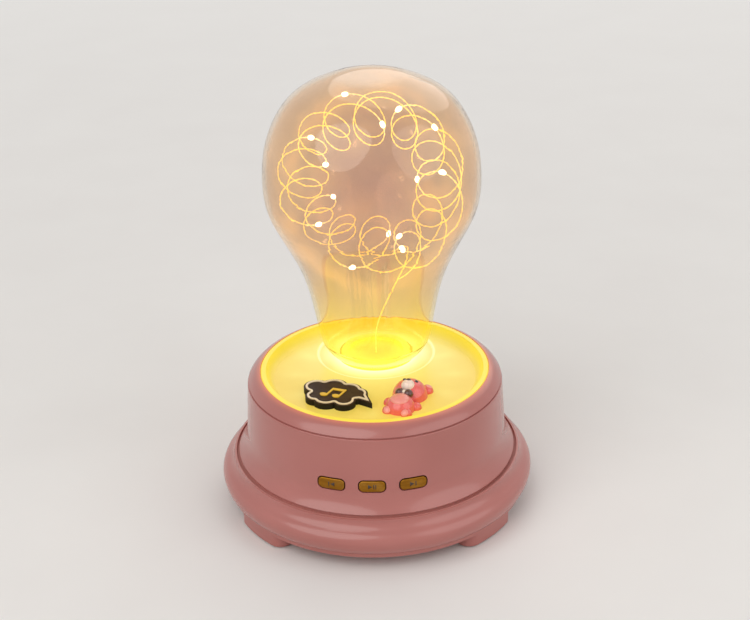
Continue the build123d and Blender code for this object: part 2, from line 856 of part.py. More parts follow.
with BuildPart() as button_board:
    with BuildSketch(Plane.XZ.offset(panel_face)):
        with Locations((0, button_z)):
            Rectangle(panel_width, panel_height)
        with Locations(*boss_points):
            Circle(small_shank + seat, mode=Mode.SUBTRACT)
    extrude(amount=-board_thickness)
button_board.part.label = "button_board"
export_step(button_board.part, "parts/button_board.step")

# Main board, with its components, the USB socket and the power switch on top of it
with BuildPart() as main_board:
    with BuildSketch(Plane.XY.offset(board_base)):
        with Locations((0, (board_rear - board_front) / 2)):
            Rectangle(2 * board_half_width, board_rear + board_front)
        Circle(board_radius, mode=Mode.INTERSECT)
        with Locations(*column_points):
            Circle(small_shank + seat, mode=Mode.SUBTRACT)
    extrude(amount=board_thickness)
main_board.part.label = "main_board"
export_step(main_board.part, "parts/main_board.step")

with BuildPart() as board_components:
    with BuildSketch(Plane.XY.offset(board_top)):
        with Locations(chip_place):
            Rectangle(chip_length, chip_width)
    extrude(amount=chip_height)
    with BuildSketch(Plane.XY.offset(board_top)):
        with Locations(*driver_chip_places):
            Rectangle(driver_chip_length, driver_chip_width)
    extrude(amount=driver_chip_height)
    with BuildSketch(Plane.XY.offset(board_top)):
        with Locations(*capacitor_places):
            Circle(capacitor_radius)
    extrude(amount=capacitor_height)
board_components.part.label = "board_components"
export_step(board_components.part, "parts/board_components.step")

with BuildPart() as usb_socket:
    with BuildSketch(Plane.XZ.offset(-usb_end)):
        with Locations((usb_x, usb_z)):
            RectangleRounded(usb_width, usb_height, usb_wall)
            RectangleRounded(
                usb_width - 2 * usb_wall, usb_height - 2 * usb_wall, usb_wall / 2, mode=Mode.SUBTRACT
            )
    extrude(amount=usb_depth)
    with BuildSketch(Plane.XZ.offset(usb_depth - usb_end)):
        with Locations((usb_x, usb_z)):
            Rectangle(usb_width - usb_wall, usb_height - usb_wall)
    extrude(amount=-usb_wall)
    with BuildSketch(Plane.XZ.offset(usb_depth - usb_end)):
        with Locations((usb_x, usb_z)):
            Rectangle(usb_width - 6 * usb_wall, usb_tongue)
    extrude(amount=1 - usb_depth)
usb_socket.part.label = "usb_socket"
export_step(usb_socket.part, "parts/usb_socket.step")

with BuildPart() as power_switch:
    with BuildSketch(Plane.XZ.offset(-power_face)):
        with Locations((power_x + knob_travel / 2, power_z)):
            Rectangle(power_width, power_height)
    extrude(amount=power_depth)
    with BuildSketch(Plane.XZ.offset(-power_face)):
        with Locations((power_x + knob_travel / 2, power_z)):
            Rectangle(knob_width + knob_travel + 2 * loose, knob_height + 2 * loose)
    extrude(amount=knob_root + loose, mode=Mode.SUBTRACT)
power_switch.part.label = "power_switch"
export_step(power_switch.part, "parts/power_switch.step")

with BuildPart() as power_knob:
    with BuildSketch(Plane.XZ.offset(knob_root - power_face)):
        with Locations((power_x, power_z)):
            Rectangle(knob_width, knob_height)
    extrude(amount=power_face - knob_root - knob_end)
    chamfer(power_knob.faces().sort_by(Axis.Y)[-1].edges(), length=button_fillet)
power_knob.part.label = "power_knob"
export_step(power_knob.part, "parts/power_knob.step")

# Battery cell, lying beside the speaker
with BuildPart() as battery_cell:
    with BuildSketch(Plane.XZ.offset(cell_length / 2)):
        with Locations((cell_x, cell_z)):
            Circle(cell_radius)
    extrude(amount=cell_cap - cell_length)
    with BuildSketch(Plane.XZ.offset(cell_cap - cell_length / 2)):
        with Locations((cell_x, cell_z)):
            Circle(cell_cap_radius)
    extrude(amount=-cell_cap)
battery_cell.part.label = "battery_cell"
export_step(battery_cell.part, "parts/battery_cell.step")

# Speaker frame: the flange on the cover and the basket, with two slots each way through it
with BuildPart() as speaker_frame:
    with BuildSketch(Plane.XZ):
        with BuildLine():
            Polyline(
                (driver_window, crease),
                (driver_radius, crease),
                (driver_radius, crease + driver_flange),
                (basket_radius, crease + driver_flange),
                (basket_radius, crease + driver_flange + basket_straight),
                (basket_top, magnet_base),
                (pole_gap + snug, magnet_base),
                (pole_gap + snug, magnet_base - basket_wall),
                (basket_top - basket_wall, magnet_base - basket_wall),
                (basket_radius - basket_wall, crease + driver_flange + basket_straight),
                (basket_radius - basket_wall, crease + driver_flange),
                (driver_window, crease + driver_flange),
                close=True,
            )
        make_face()
    revolve(axis=Axis.Z)
    for plane in (Plane.XZ, Plane.YZ):
        with BuildSketch(plane):
            with Locations((0, magnet_base - basket_wall - basket_slot_height / 2 - 1)):
                Rectangle(basket_slot_width, basket_slot_height)
        extrude(amount=driver_radius, both=True, mode=Mode.SUBTRACT)
speaker_frame.part.label = "speaker_frame"
export_step(speaker_frame.part, "parts/speaker_frame.step")

with BuildPart() as speaker_magnet:
    with BuildSketch(Plane.XY.offset(magnet_base)):
        Circle(magnet_radius)
    extrude(amount=magnet_height)
    with BuildSketch(Plane.XY.offset(magnet_base)):
        Circle(pole_gap)
        Circle(pole_radius, mode=Mode.SUBTRACT)
    extrude(amount=pole_depth, mode=Mode.SUBTRACT)
speaker_magnet.part.label = "speaker_magnet"
export_step(speaker_magnet.part, "parts/speaker_magnet.step")

# Cone, dust cap, voice coil and surround, which move together
with BuildPart() as speaker_cone:
    with BuildSketch(Plane.XZ):
        with BuildLine():
            Polyline(
                (cone_radius, cone_base),
                (cone_radius, cone_base + cone_wall),
                (coil_radius + coil_wall, cone_top + cone_wall),
                (coil_radius + coil_wall, cone_top),
                close=True,
            )
        make_face()
    revolve(axis=Axis.Z)
speaker_cone.part.label = "speaker_cone"
export_step(speaker_cone.part, "parts/speaker_cone.step")

cap_slope = cone_depth / (cone_radius - coil_radius - coil_wall)
cap_rim = cone_top - (cap_radius - coil_radius - coil_wall) * cap_slope
cap_inner_rim = (cap_radius - cap_wall, cap_rim + cap_wall * cap_slope)
with BuildPart() as dust_cap:
    with BuildSketch(Plane.XZ):
        with BuildLine():
            TangentArc((0, cap_rim - cap_drop), (cap_radius, cap_rim), tangent=(1, 0))
            Line((cap_radius, cap_rim), cap_inner_rim)
            TangentArc((0, cap_rim - cap_drop + cap_wall), cap_inner_rim, tangent=(1, 0))
            Line((0, cap_rim - cap_drop + cap_wall), (0, cap_rim - cap_drop))
        make_face()
    revolve(axis=Axis.Z)
dust_cap.part.label = "dust_cap"
export_step(dust_cap.part, "parts/dust_cap.step")

with BuildPart() as voice_coil:
    with BuildSketch(Plane.XY.offset(cone_top)):
        Circle(coil_radius + coil_wall)
        Circle(coil_radius, mode=Mode.SUBTRACT)
    extrude(amount=coil_length)
voice_coil.part.label = "voice_coil"
export_step(voice_coil.part, "parts/voice_coil.step")

with BuildPart() as cone_surround:
    with BuildSketch(Plane.XZ):
        with Locations((cone_radius + surround_width / 2, cone_base)):
            Circle(surround_width / 2)
            Rectangle(surround_width, cone_wall, align=(Align.CENTER, Align.MIN))
            Circle(surround_width / 2 - surround_wall, mode=Mode.SUBTRACT)
            Rectangle(
                surround_width - 2 * surround_wall,
                surround_width,
                align=(Align.CENTER, Align.MIN),
                mode=Mode.SUBTRACT,
            )
        with Locations((cone_radius + surround_width / 2, cone_base + cone_wall)):
            Rectangle(
                surround_width, surround_width, align=(Align.CENTER, Align.MIN), mode=Mode.SUBTRACT
            )
    revolve(axis=Axis.Z)
cone_surround.part.label = "cone_surround"
export_step(cone_surround.part, "parts/cone_surround.step")

# Light board under the tray, and its lamps
with BuildPart() as led_board:
    with BuildSketch(Plane.XY.offset(shelf_top)):
        Circle(led_board_radius)
        with Locations((0, bulb_back)):
            Circle(led_board_hole, mode=Mode.SUBTRACT)
        with Locations(*led_screw_points):
            Circle(small_shank + seat, mode=Mode.SUBTRACT)
    extrude(amount=board_thickness)
led_board.part.label = "led_board"
export_step(led_board.part, "parts/led_board.step")

with BuildPart() as led_lamps:
    with BuildSketch(Plane.XY.offset(shelf_top + board_thickness)):
        with Locations(*[polar(led_place, angle) for angle in range(150, 391, 30)]):
            Rectangle(led_size, led_size)
    extrude(amount=led_height)
led_lamps.part.label = "led_lamps"
export_step(led_lamps.part, "parts/led_lamps.step")

# Screws
case_screws = screw_set(
    Plane.XY.offset(cover_base + case_recess), post_points,
    case_head, case_head_height, case_shank, case_screw, way=-1,
)
case_screws.part.label = "case_screws"
export_step(case_screws.part, "parts/case_screws.step")

speaker_screws = screw_set(
    Plane.XY.offset(crease + driver_flange), clamp_points,
    clamp_head, clamp_head_height, small_shank, clamp_screw,
)
speaker_screws.part.label = "speaker_screws"
export_step(speaker_screws.part, "parts/speaker_screws.step")

main_board_screws = screw_set(
    Plane.XY.offset(board_base), column_points,
    small_head, small_head_height, small_shank, board_screw, way=-1,
)
main_board_screws.part.label = "main_board_screws"
export_step(main_board_screws.part, "parts/main_board_screws.step")

button_board_screws = screw_set(
    Plane.XZ.offset(panel_face - board_thickness), boss_points,
    small_head, small_head_height, small_shank, panel_screw, way=-1,
)
button_board_screws.part.label = "button_board_screws"
export_step(button_board_screws.part, "parts/button_board_screws.step")

bezel_screws = screw_set(
    Plane.XY.offset(shelf_base), bezel_points,
    small_head, small_head_height, small_shank, shelf_screw - seat, way=-1,
)
bezel_screws.part.label = "bezel_screws"
export_step(bezel_screws.part, "parts/bezel_screws.step")

light_board_screws = screw_set(
    Plane.XY.offset(shelf_top + board_thickness), led_screw_points,
    small_head, small_head_height, small_shank, led_screw,
)
light_board_screws.part.label = "light_board_screws"
export_step(light_board_screws.part, "parts/light_board_screws.step")

# Cloud plaque: the dark cloud, its raised outline and a pair of notes
plaque_plane = Plane(origin=(*plaque_place, tray_floor), z_dir=(0, 0, 1)).rotated((0, 0, plaque_turn))
with BuildSketch(plaque_plane) as cloud_shape:
    for x, y, radius in plaque_lobes:
        with Locations((x, y)):
            Circle(radius)
    with BuildLine():
        Polyline(*plaque_tail, close=True)
    make_face()
with BuildPart() as cloud_plaque:
    add(cloud_shape.sketch)
    extrude(amount=plaque_height)
cloud_plaque.part.label = "cloud_plaque"
export_step(cloud_plaque.part, "parts/cloud_plaque.step")

with BuildPart() as cloud_outline:
    with BuildSketch(plaque_plane.offset(plaque_height)):
        add(cloud_shape.sketch_local)
        offset(amount=-outline_inset, mode=Mode.REPLACE)
        offset(amount=-outline_width, mode=Mode.SUBTRACT)
    extrude(amount=outline_height)
cloud_outline.part.label = "cloud_outline"
export_step(cloud_outline.part, "parts/cloud_outline.step")

stem_shift = note_head[0] - note_line / 2
bar_ends = [(x + stem_shift, y + note_stem) for x, y in note_places]
with BuildPart() as cloud_notes:
    with BuildSketch(plaque_plane.offset(plaque_height)):
        for x, y in note_places:
            with Locations((x, y)):
                Ellipse(*note_head)
            with Locations((x + stem_shift, y)):
                Rectangle(note_line, note_stem, align=(Align.CENTER, Align.MIN))
        with BuildLine():
            Polyline(
                (bar_ends[0][0] - note_line / 2, bar_ends[0][1]),
                (bar_ends[1][0] + note_line / 2, bar_ends[1][1]),
                (bar_ends[1][0] + note_line / 2, bar_ends[1][1] - note_bar),
                (bar_ends[0][0] - note_line / 2, bar_ends[0][1] - note_bar),
                close=True,
            )
        make_face()
    extrude(amount=note_height)
cloud_notes.part.label = "cloud_notes"
export_step(cloud_notes.part, "parts/cloud_notes.step")



def dome(radius):
    """Half a ball, with its flat side down on the plane in use."""
    Sphere(radius, arc_size1=0, align=(Align.CENTER, Align.CENTER, Align.MIN))


# Bear charm: a plain round toy bear lying on its back, flat where it rests
bear_plane = Plane(origin=(*bear_place, tray_floor), z_dir=(0, 0, 1)).rotated((0, 0, bear_turn))
with BuildPart() as bear_charm:
    with Locations(bear_plane):
        dome(head_radius)
        with Locations((0, -belly_drop)):
            dome(belly_radius)
        for way in (-1, 1):
            with Locations((way * ear_place[0], ear_place[1])):
                dome(ear_radius)
            with Locations((way * paw_place[0], paw_place[1])):
                dome(paw_radius)
            with Locations((way * leg_place[0], leg_place[1])):
                dome(leg_radius)
bear_charm.part.label = "bear_charm"
export_step(bear_charm.part, "parts/bear_charm.step")

with BuildPart() as bear_muzzle:
    with Locations(bear_plane):
        with Locations(muzzle_place):
            Sphere(muzzle_radius)
    add(bear_charm.part, mode=Mode.SUBTRACT)
bear_muzzle.part.label = "bear_muzzle"
export_step(bear_muzzle.part, "parts/bear_muzzle.step")

with BuildPart() as bear_bow:
    with Locations(bear_plane):
        with Locations(bow_place, (-bow_place[0], *bow_place[1:])):
            Sphere(bow_radius)
    add(bear_charm.part, mode=Mode.SUBTRACT)
bear_bow.part.label = "bear_bow"
export_step(bear_bow.part, "parts/bear_bow.step")
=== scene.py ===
"""The speaker lamp's looks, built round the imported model."""

from math import cos, pi, radians, sin, sqrt

import bmesh
import bpy
from mathutils import Matrix, Vector


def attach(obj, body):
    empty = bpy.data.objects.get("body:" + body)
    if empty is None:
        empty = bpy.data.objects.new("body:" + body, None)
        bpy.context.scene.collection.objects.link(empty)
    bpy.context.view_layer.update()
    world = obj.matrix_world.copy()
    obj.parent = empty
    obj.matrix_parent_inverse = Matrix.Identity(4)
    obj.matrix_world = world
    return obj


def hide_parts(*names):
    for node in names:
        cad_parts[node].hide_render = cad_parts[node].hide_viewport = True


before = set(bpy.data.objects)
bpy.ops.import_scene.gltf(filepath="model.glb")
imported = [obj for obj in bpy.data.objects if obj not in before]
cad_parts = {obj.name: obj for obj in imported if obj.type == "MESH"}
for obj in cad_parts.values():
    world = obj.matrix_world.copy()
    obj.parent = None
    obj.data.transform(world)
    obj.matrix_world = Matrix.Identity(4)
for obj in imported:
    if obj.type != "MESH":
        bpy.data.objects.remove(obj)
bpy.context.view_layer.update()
MM = 0.001

# Places and sizes, the same as the model's, in millimetres and degrees
TRAY_FLOOR = 56.9
TRAY_RADIUS = 44.1
RIM_RADIUS = 49.7
LIP_INNER = 62.4
BULB_BACK = 22.0
BULB_TAIL = 5.0
STEP_RADIUS = 26.0
LAMP_PLACE = 35.0
LAMP_STEPS = 12  # places round the tray, nine of them with a lamp
BUTTON_HEIGHT = 35.1
BUTTON_FACE = 57.3
BUTTON_PITCH = 16.9
WIRE_WIDTH = 0.6
WIRE_LOOPS = 24
WIRE_ROUNDS = 2
WREATH_RADIUS = 30.0
WREATH_SWELL = 0.04
WREATH_MIDDLE = TRAY_FLOOR + 81
WREATH_START = -74.0
WREATH_DEPTH = 14.0
LOOP_RADIUS = 9.0
LOOP_SWELL = 0.12
LOOP_DEPTH = 6.0
BEAD_RADIUS = 1.1
BEAD_COUNT = 14
BEAD_FIRST = 3
BEAD_STEP = 7
PLUG_TOP = 58.5
WIRE_RISE = 6.0
BEAR_PLACE = (15.6, -19.6)
BEAR_TURN = -20.0
HEAD_RADIUS = 7.6
EAR_RADIUS = 2.9
EAR_PLACE = (5.4, 6.0)
BELLY_RADIUS = 6.4
BELLY_DROP = 11.5
LEG_RADIUS = 2.7
LEG_PLACE = (3.9, -15.4)
MUZZLE_RADIUS = 3.0
MUZZLE_PLACE = (0.0, -2.2, 5.8)
CASE_SCREW = (1.8, 1.4)  # how high its head is, and its shank's radius
CLAMP_SCREW = (1.4, 0.9)
SMALL_SCREW = (1.2, 0.9)

# Sizes and places of what the scene adds or paints, in millimetres
BULB_MIDDLE = TRAY_FLOOR + 83
PAINTED_NECK_LIGHT = TRAY_FLOOR + 60  # how high the painted light from the tray reaches up the bulb
LAMP_FACE = 52.95
CELL_SLEEVE = 32.1
MAGNET_RING = (22.8, 27.2)
WIRE_SEAT = 4.5
KNOT_PLACE = (0, -7.0, 5.2)
BEAD_HALF_LENGTH = 1.6
LOOP_STEPS = 48
STRAND_SHARE = 4.4  # the wire's width, against how far a strand lies from its middle
TWIST_PITCH = 5.0
TWIST_STEP = 0.7
THREAD_PITCH = 0.9
PATCH_LIFT = 0.12
SIGN_PROFILE = ((-0.15, 0), (-0.15, 1), (0.05, 1), (0.07, 0.6), (0.07, 0))
FLOOR_RADIUS = 3000
FLOOR_FADE = (350, 1500)

# Ways that screws face, and the seed of all that is random
DOWN = (0, 0, -1)
UP = (0, 0, 1)
BACK = (0, 1, 0)
SEED = 7


def paint(red, green, blue):
    """A colour as it looks on a screen, turned to the linear one that shaders take."""
    line = []
    for part in (red / 255, green / 255, blue / 255):
        line.append(part / 12.92 if part <= 0.04045 else ((part + 0.055) / 1.055) ** 2.4)
    return (*line, 1.0)


# Trees of nodes, for finishes and for shapes that repeat


class Flow:
    """What comes out of a node: sums written on it become Math nodes."""

    def __init__(self, tree, socket):
        self.tree = tree
        self.socket = socket

    def __add__(self, other):
        return self.tree.sum("ADD", self, other)

    def __radd__(self, other):
        return self.tree.sum("ADD", other, self)

    def __sub__(self, other):
        return self.tree.sum("SUBTRACT", self, other)

    def __rsub__(self, other):
        return self.tree.sum("SUBTRACT", other, self)

    def __mul__(self, other):
        return self.tree.sum("MULTIPLY", self, other)

    def __rmul__(self, other):
        return self.tree.sum("MULTIPLY", other, self)

    def __truediv__(self, other):
        return self.tree.sum("DIVIDE", self, other)

    def __rtruediv__(self, other):
        return self.tree.sum("DIVIDE", other, self)

    def __pow__(self, other):
        return self.tree.sum("POWER", self, other)

    def __gt__(self, other):
        return self.tree.sum("GREATER_THAN", self, other)

    def __lt__(self, other):
        return self.tree.sum("LESS_THAN", self, other)


class Tree:
    """A tree of nodes, written a node at a time."""

    def __init__(self, tree):
        self.tree = tree

    def node(self, kind, settings=None, values=None, output=0):
        """Any node: its settings first, then the values or flows of its sockets."""
        node = self.tree.nodes.new(kind)
        for name, value in (settings or {}).items():
            setattr(node, name, value)
        for name, value in (values or {}).items():
            self.feed(node.inputs[name], value)
        return Flow(self, node.outputs[output])

    def feed(self, socket, value):
        """Links a flow to the socket, or writes a plain value on it."""
        if isinstance(value, Flow):
            self.tree.links.new(value.socket, socket)
        else:
            socket.default_value = value

    def sum(self, operation, *parts):
        return self.node("ShaderNodeMath", {"operation": operation}, dict(enumerate(parts)))


def socket_name(word):
    return word.replace("_", " ").title().replace("Ior", "IOR")


class Finish(Tree):
    """One material, written in the surface's own words; constants go on the shader itself."""

    def __init__(self, name, **constants):
        self.material = bpy.data.materials.new(name)
        self.material.use_nodes = True
        super().__init__(self.material.node_tree)
        self.tree.nodes.clear()
        self.shader = self.tree.nodes.new("ShaderNodeBsdfPrincipled")
        self.output = self.tree.nodes.new("ShaderNodeOutputMaterial")
        self.tree.links.new(self.shader.outputs[0], self.output.inputs[0])
        self.place = self.node("ShaderNodeTexCoord", output="Object")
        for word, value in constants.items():
            self.shader.inputs[socket_name(word)].default_value = value

    def set(self, **flows):
        for word, value in flows.items():
            self.feed(self.shader.inputs[socket_name(word)], value)

    def fed(self, word):
        """The flow that feeds one of the shader's sockets so far."""
        return Flow(self, self.shader.inputs[socket_name(word)].links[0].from_socket)

    def noise(self, size, detail=3.0, rough=0.5, stretch=None):
        """Soft random marks of about that size in millimetres."""
        place = self.place
        if stretch:
            place = self.node("ShaderNodeMapping", None, {"Vector": place, "Scale": stretch})
        values = {"Vector": place, "Scale": 1000 / size, "Detail": detail, "Roughness": rough}
        return self.node("ShaderNodeTexNoise", None, values)

    def span(self, flow, low, high, to_low=0.0, to_high=1.0):
        """The flow's stretch from low to high, spread from to_low to to_high and held there."""
        values = {"Value": flow, "From Min": low, "From Max": high}
        return self.node("ShaderNodeMapRange", None, {**values, "To Min": to_low, "To Max": to_high})

    def blend(self, mask, first, second):
        """The first colour where the mask is 0, and the second where it is 1."""
        values = {0: mask, 6: first, 7: second}
        return self.node("ShaderNodeMix", {"data_type": "RGBA"}, values, 2)

    def axis(self, name):
        """The place along one axis, in millimetres."""
        return self.node("ShaderNodeSeparateXYZ", None, {0: self.place}, name) * 1000

    def away_from(self, x, y, z=None):
        """How far a place lies from an upright line, or from one that runs front to back."""
        if z is None:
            values = {0: self.place, 1: (1000, 1000, 0), 2: (-x, -y, 0)}
        else:
            values = {0: self.place, 1: (1000, 0, 1000), 2: (-x, 0, -z)}
        shifted = self.node("ShaderNodeVectorMath", {"operation": "MULTIPLY_ADD"}, values)
        return self.node("ShaderNodeVectorMath", {"operation": "LENGTH"}, {0: shifted}, "Value")

    def bump(self, height, strength, depth):
        """Raises the surface by the flow, so many millimetres deep."""
        values = {"Strength": strength, "Distance": depth * MM, "Height": height}
        self.set(normal=self.node("ShaderNodeBump", None, values))


# Finishes


def moulded(name, colour, shade, roughness=0.21, grain=30, **constants):
    """Glossy moulded plastic, smooth to the touch: a little cloudy, and duller where handled.

    The lamp's own plastic stays under a roughness of 0.27. Where it ran from 0.24 to 0.3, faint
    lines showed round its duller patches.
    """
    finish = Finish(name, **{"coat_weight": 0.35, "coat_roughness": 0.06, "ior": 1.48, **constants})
    cloud = finish.noise(grain, 1)
    rubs = finish.noise(0.8 * grain, 1)
    finish.set(base_color=finish.blend(cloud, shade, colour), roughness=roughness + 0.06 * rubs)
    return finish


def worked_metal(name, colour, shade, roughness, size, stretch=(1, 1, 1)):
    """Bare or plated metal, with the marks of its making drawn one way and faint stains."""
    finish = Finish(name, metallic=1.0)
    drawn = finish.noise(size, 4, 0.6, stretch)
    stains = finish.noise(12, 3)
    finish.set(
        base_color=finish.blend(finish.span(stains, 0.4, 0.7), colour, shade),
        roughness=roughness + 0.18 * drawn + 0.08 * stains,
    )
    finish.bump(drawn, 0.3, 0.02)
    return finish


def soft_rubber(name, colour, shade):
    """Matt rubber with a close grain and a dusty bloom."""
    finish = Finish(name, specular_ior_level=0.3)
    grain = finish.noise(0.5, 3)
    dust = finish.span(finish.noise(7, 4), 0.45, 0.75)
    finish.set(
        base_color=finish.blend(dust * 0.4, colour, shade),
        roughness=0.62 + 0.2 * grain + 0.1 * dust,
    )
    finish.bump(grain, 0.5, 0.03)
    return finish


def circuit(name, lacquer, trace):
    """Lacquered board: copper lines faint under the lacquer, and bright bare pads."""
    finish = Finish(name, coat_weight=0.5, coat_roughness=0.15)
    bricks = {"offset": 0.37, "squash": 1.4, "squash_frequency": 3}
    sizes = {"Scale": 37, "Mortar Size": 0.006, "Brick Width": 0.9, "Row Height": 0.21}
    lines = finish.node("ShaderNodeTexBrick", bricks, {"Vector": finish.place, **sizes}, "Fac")
    cells = finish.node("ShaderNodeTexVoronoi", None, {"Vector": finish.place, "Scale": 320})
    pads = cells < 0.13
    finish.set(
        base_color=finish.blend(pads, finish.blend(lines, lacquer, trace), paint(206, 178, 104)),
        roughness=0.4 + 0.18 * finish.noise(1.2) - 0.12 * pads,
        metallic=0.8 * pads,
    )
    finish.bump(lines + pads, 0.4, 0.03)
    return finish


def rose(name, **constants):
    """The lamp's own rose pink plastic."""
    return moulded(name, paint(184, 114, 107), paint(168, 99, 92), **constants)


def flange_rose():
    """The body's rose plastic, dull inside the seam under the body's hem, where painted light makes
    it paler.
    """
    finish = rose("flange_rose")
    seam = finish.span(finish.away_from(0, 0), LIP_INNER + 0.5, LIP_INNER + 0.1)
    finish.set(
        # painted light: a paler rose in the seam lifts the shade in the gap under the hem
        base_color=finish.blend(seam * 0.5, finish.fed("base_color"), paint(226, 160, 150)),
        roughness=finish.fed("roughness") + 0.4 * seam,
        coat_weight=0.35 * (1 - seam),
    )
    return finish


def bezel_rose():
    """The body's rose plastic, with a painted glow of the tray's light along its inner edge."""
    finish = rose("bezel_rose", emission_strength=1.0)
    near = finish.span(finish.away_from(0, 0), RIM_RADIUS + 3.2, RIM_RADIUS)
    # painted light: an orange glow by the tray's rim, written as emission
    finish.set(emission_color=finish.blend(near**2, paint(0, 0, 0), paint(158, 80, 16)))
    return finish


def lit_tray():
    """Milky yellow plastic over a ring of lamps: brightest at the bulb and over each lamp, with
    painted glare and a painted highlight round the bulb's foot.
    """
    finish = Finish("tray_yellow", emission_strength=1.0, coat_weight=0.25, coat_roughness=0.2)
    from_bulb = finish.away_from(0, BULB_BACK)
    near_bulb = finish.span(from_bulb, 16, 50, 1, 0) ** 1.5
    # painted glare: the tray pales to near white round the bulb's foot
    painted_glare = finish.span(from_bulb, 18, 27, 1, 0) ** 2
    # painted highlight: a bright line along the step's edge round the bulb
    edge = finish.span(finish.sum("ABSOLUTE", from_bulb - STEP_RADIUS), 0, 0.9, 1, 0)
    middle = finish.away_from(0, 0)
    turn = finish.sum("ARCTAN2", finish.axis("Y"), finish.axis("X"))
    lamps = (finish.sum("COSINE", turn * LAMP_STEPS) * 0.5 + 0.5) ** 3
    ring = finish.span(finish.sum("ABSOLUTE", middle - LAMP_PLACE), 0, 9, 1, 0)
    cloud = finish.noise(14, 3)
    glow = near_bulb * 0.7 + lamps * ring * 0.14 + cloud * 0.12
    wall = finish.span(middle, TRAY_RADIUS - 0.5, RIM_RADIUS - 2)
    tone = finish.blend(glow, paint(172, 146, 46), paint(212, 220, 142))
    tone = finish.blend(painted_glare * 0.8 + edge * 0.45, tone, paint(255, 252, 220))
    fine = finish.noise(0.8, 2)
    finish.set(
        base_color=finish.blend(cloud, paint(184, 160, 66), paint(196, 174, 80)),
        emission_color=finish.blend(wall * 0.85, tone, paint(196, 182, 8)),
        roughness=0.34 + 0.08 * fine + 0.06 * cloud,
    )
    finish.bump(fine, 0.25, 0.02)
    return finish


def clear_bulb():
    """Clear plastic, warm all over, with faint wipe marks; painted light glows amber down its neck
    and round the fairy lights, and a painted pink reflection tints its middle.
    """
    finish = Finish("bulb_clear", transmission_weight=1.0, ior=1.46, emission_strength=1.0)
    wipes = finish.span(finish.noise(16, 5, 0.6, (1, 1, 0.3)), 0.5, 0.75)
    wave = finish.noise(26, 1)
    # painted light: the neck turns yellow and glows where the tray's light would reach into it
    neck = finish.span(finish.axis("Z"), TRAY_FLOOR - BULB_TAIL, PAINTED_NECK_LIGHT, 1, 0) ** 2
    # painted light: the glass glows in patches along the wreath, where the fairy lights would light
    # it
    from_middle = finish.away_from(0, 0, WREATH_MIDDLE)
    from_wreath = finish.sum("ABSOLUTE", from_middle - (WREATH_RADIUS + 3))
    lit = finish.span(from_wreath, 1, 17, 1, 0) * finish.span(finish.noise(19, 2), 0.42, 0.66)
    # painted reflection: a pink tint over the bulb's middle
    middle = finish.span(finish.away_from(0, 0, BULB_MIDDLE), 14, 34)
    warm = finish.blend(wave, paint(241, 217, 190), paint(245, 225, 202))
    warm = finish.blend(middle, paint(230, 202, 188), warm)
    glow = finish.blend(lit, paint(4, 2, 1), paint(92, 66, 22))
    finish.set(
        base_color=finish.blend(neck, warm, paint(255, 247, 178)),
        emission_color=finish.blend(neck, glow, paint(100, 92, 24)),
        roughness=0.015 + 0.03 * wipes,
    )
    finish.bump(wave, 0.08, 0.3)
    return finish


def lit_wire():
    """Gold wire with a painted glow all along, palest near the beads."""
    finish = Finish("wire_gold", metallic=0.8, emission_strength=1.4, coat_weight=0.4)
    near = finish.node("ShaderNodeAttribute", {"attribute_name": "near_bead"}, output="Fac")
    fine = finish.noise(1.5, 3)
    # painted light: the wire glows, palest where the beads would light it
    finish.set(
        base_color=finish.blend(fine, paint(206, 152, 50), paint(232, 186, 80)),
        emission_color=finish.blend(near, paint(246, 218, 112), paint(255, 250, 200)),
        roughness=0.26 + 0.15 * fine,
    )
    return finish


def bright_bead():
    """A drop of clear resin over a lit lamp."""
    finish = Finish("bead_glow", emission_strength=5.0, coat_weight=0.6)
    cloud = finish.noise(0.9, 2)
    finish.set(
        base_color=finish.blend(cloud, paint(255, 236, 190), paint(255, 246, 220)),
        emission_color=finish.blend(cloud, paint(255, 236, 180), paint(255, 248, 222)),
        roughness=0.15 + 0.1 * cloud,
    )
    return finish


def plug_plastic():
    """Milky plastic in the bulb's neck, with a painted glow, the brightest yellow of all."""
    finish = moulded("plug_milk", paint(222, 196, 96), paint(206, 176, 70), emission_strength=1.0)
    near = finish.span(finish.away_from(0, BULB_BACK), 2, 15, 0.5, 1)
    # painted light: the plug glows yellow, more towards its edge
    finish.set(emission_color=finish.blend(near, paint(130, 108, 20), paint(244, 226, 76)))
    return finish


def button_gold():
    """Gold plating over plastic, brushed sideways and worn a little on the crown."""
    finish = Finish("button_gold", metallic=0.95, coat_weight=0.15, coat_roughness=0.12)
    drawn = finish.noise(1.1, 4, 0.6, (0.12, 0.12, 1))
    worn = finish.span(finish.noise(5, 4), 0.5, 0.75)
    tone = finish.blend(drawn, paint(120, 74, 10), paint(170, 118, 24))
    finish.set(
        base_color=finish.blend(worn * 0.3, tone, paint(206, 160, 80)),
        roughness=0.24 + 0.16 * drawn + 0.1 * worn,
    )
    finish.bump(drawn, 0.2, 0.02)
    return finish


def wound_copper():
    """Fine copper turns, one above the other."""
    finish = Finish("coil_copper", metallic=1.0)
    turns = finish.sum("SINE", finish.axis("Z") * 30) * 0.5 + 0.5
    stains = finish.noise(4)
    tone = finish.blend(turns, paint(112, 58, 26), paint(206, 122, 66))
    finish.set(
        base_color=finish.blend(stains * 0.3, tone, paint(90, 44, 22)),
        roughness=0.3 + 0.2 * turns,
    )
    finish.bump(turns, 0.6, 0.05)
    return finish


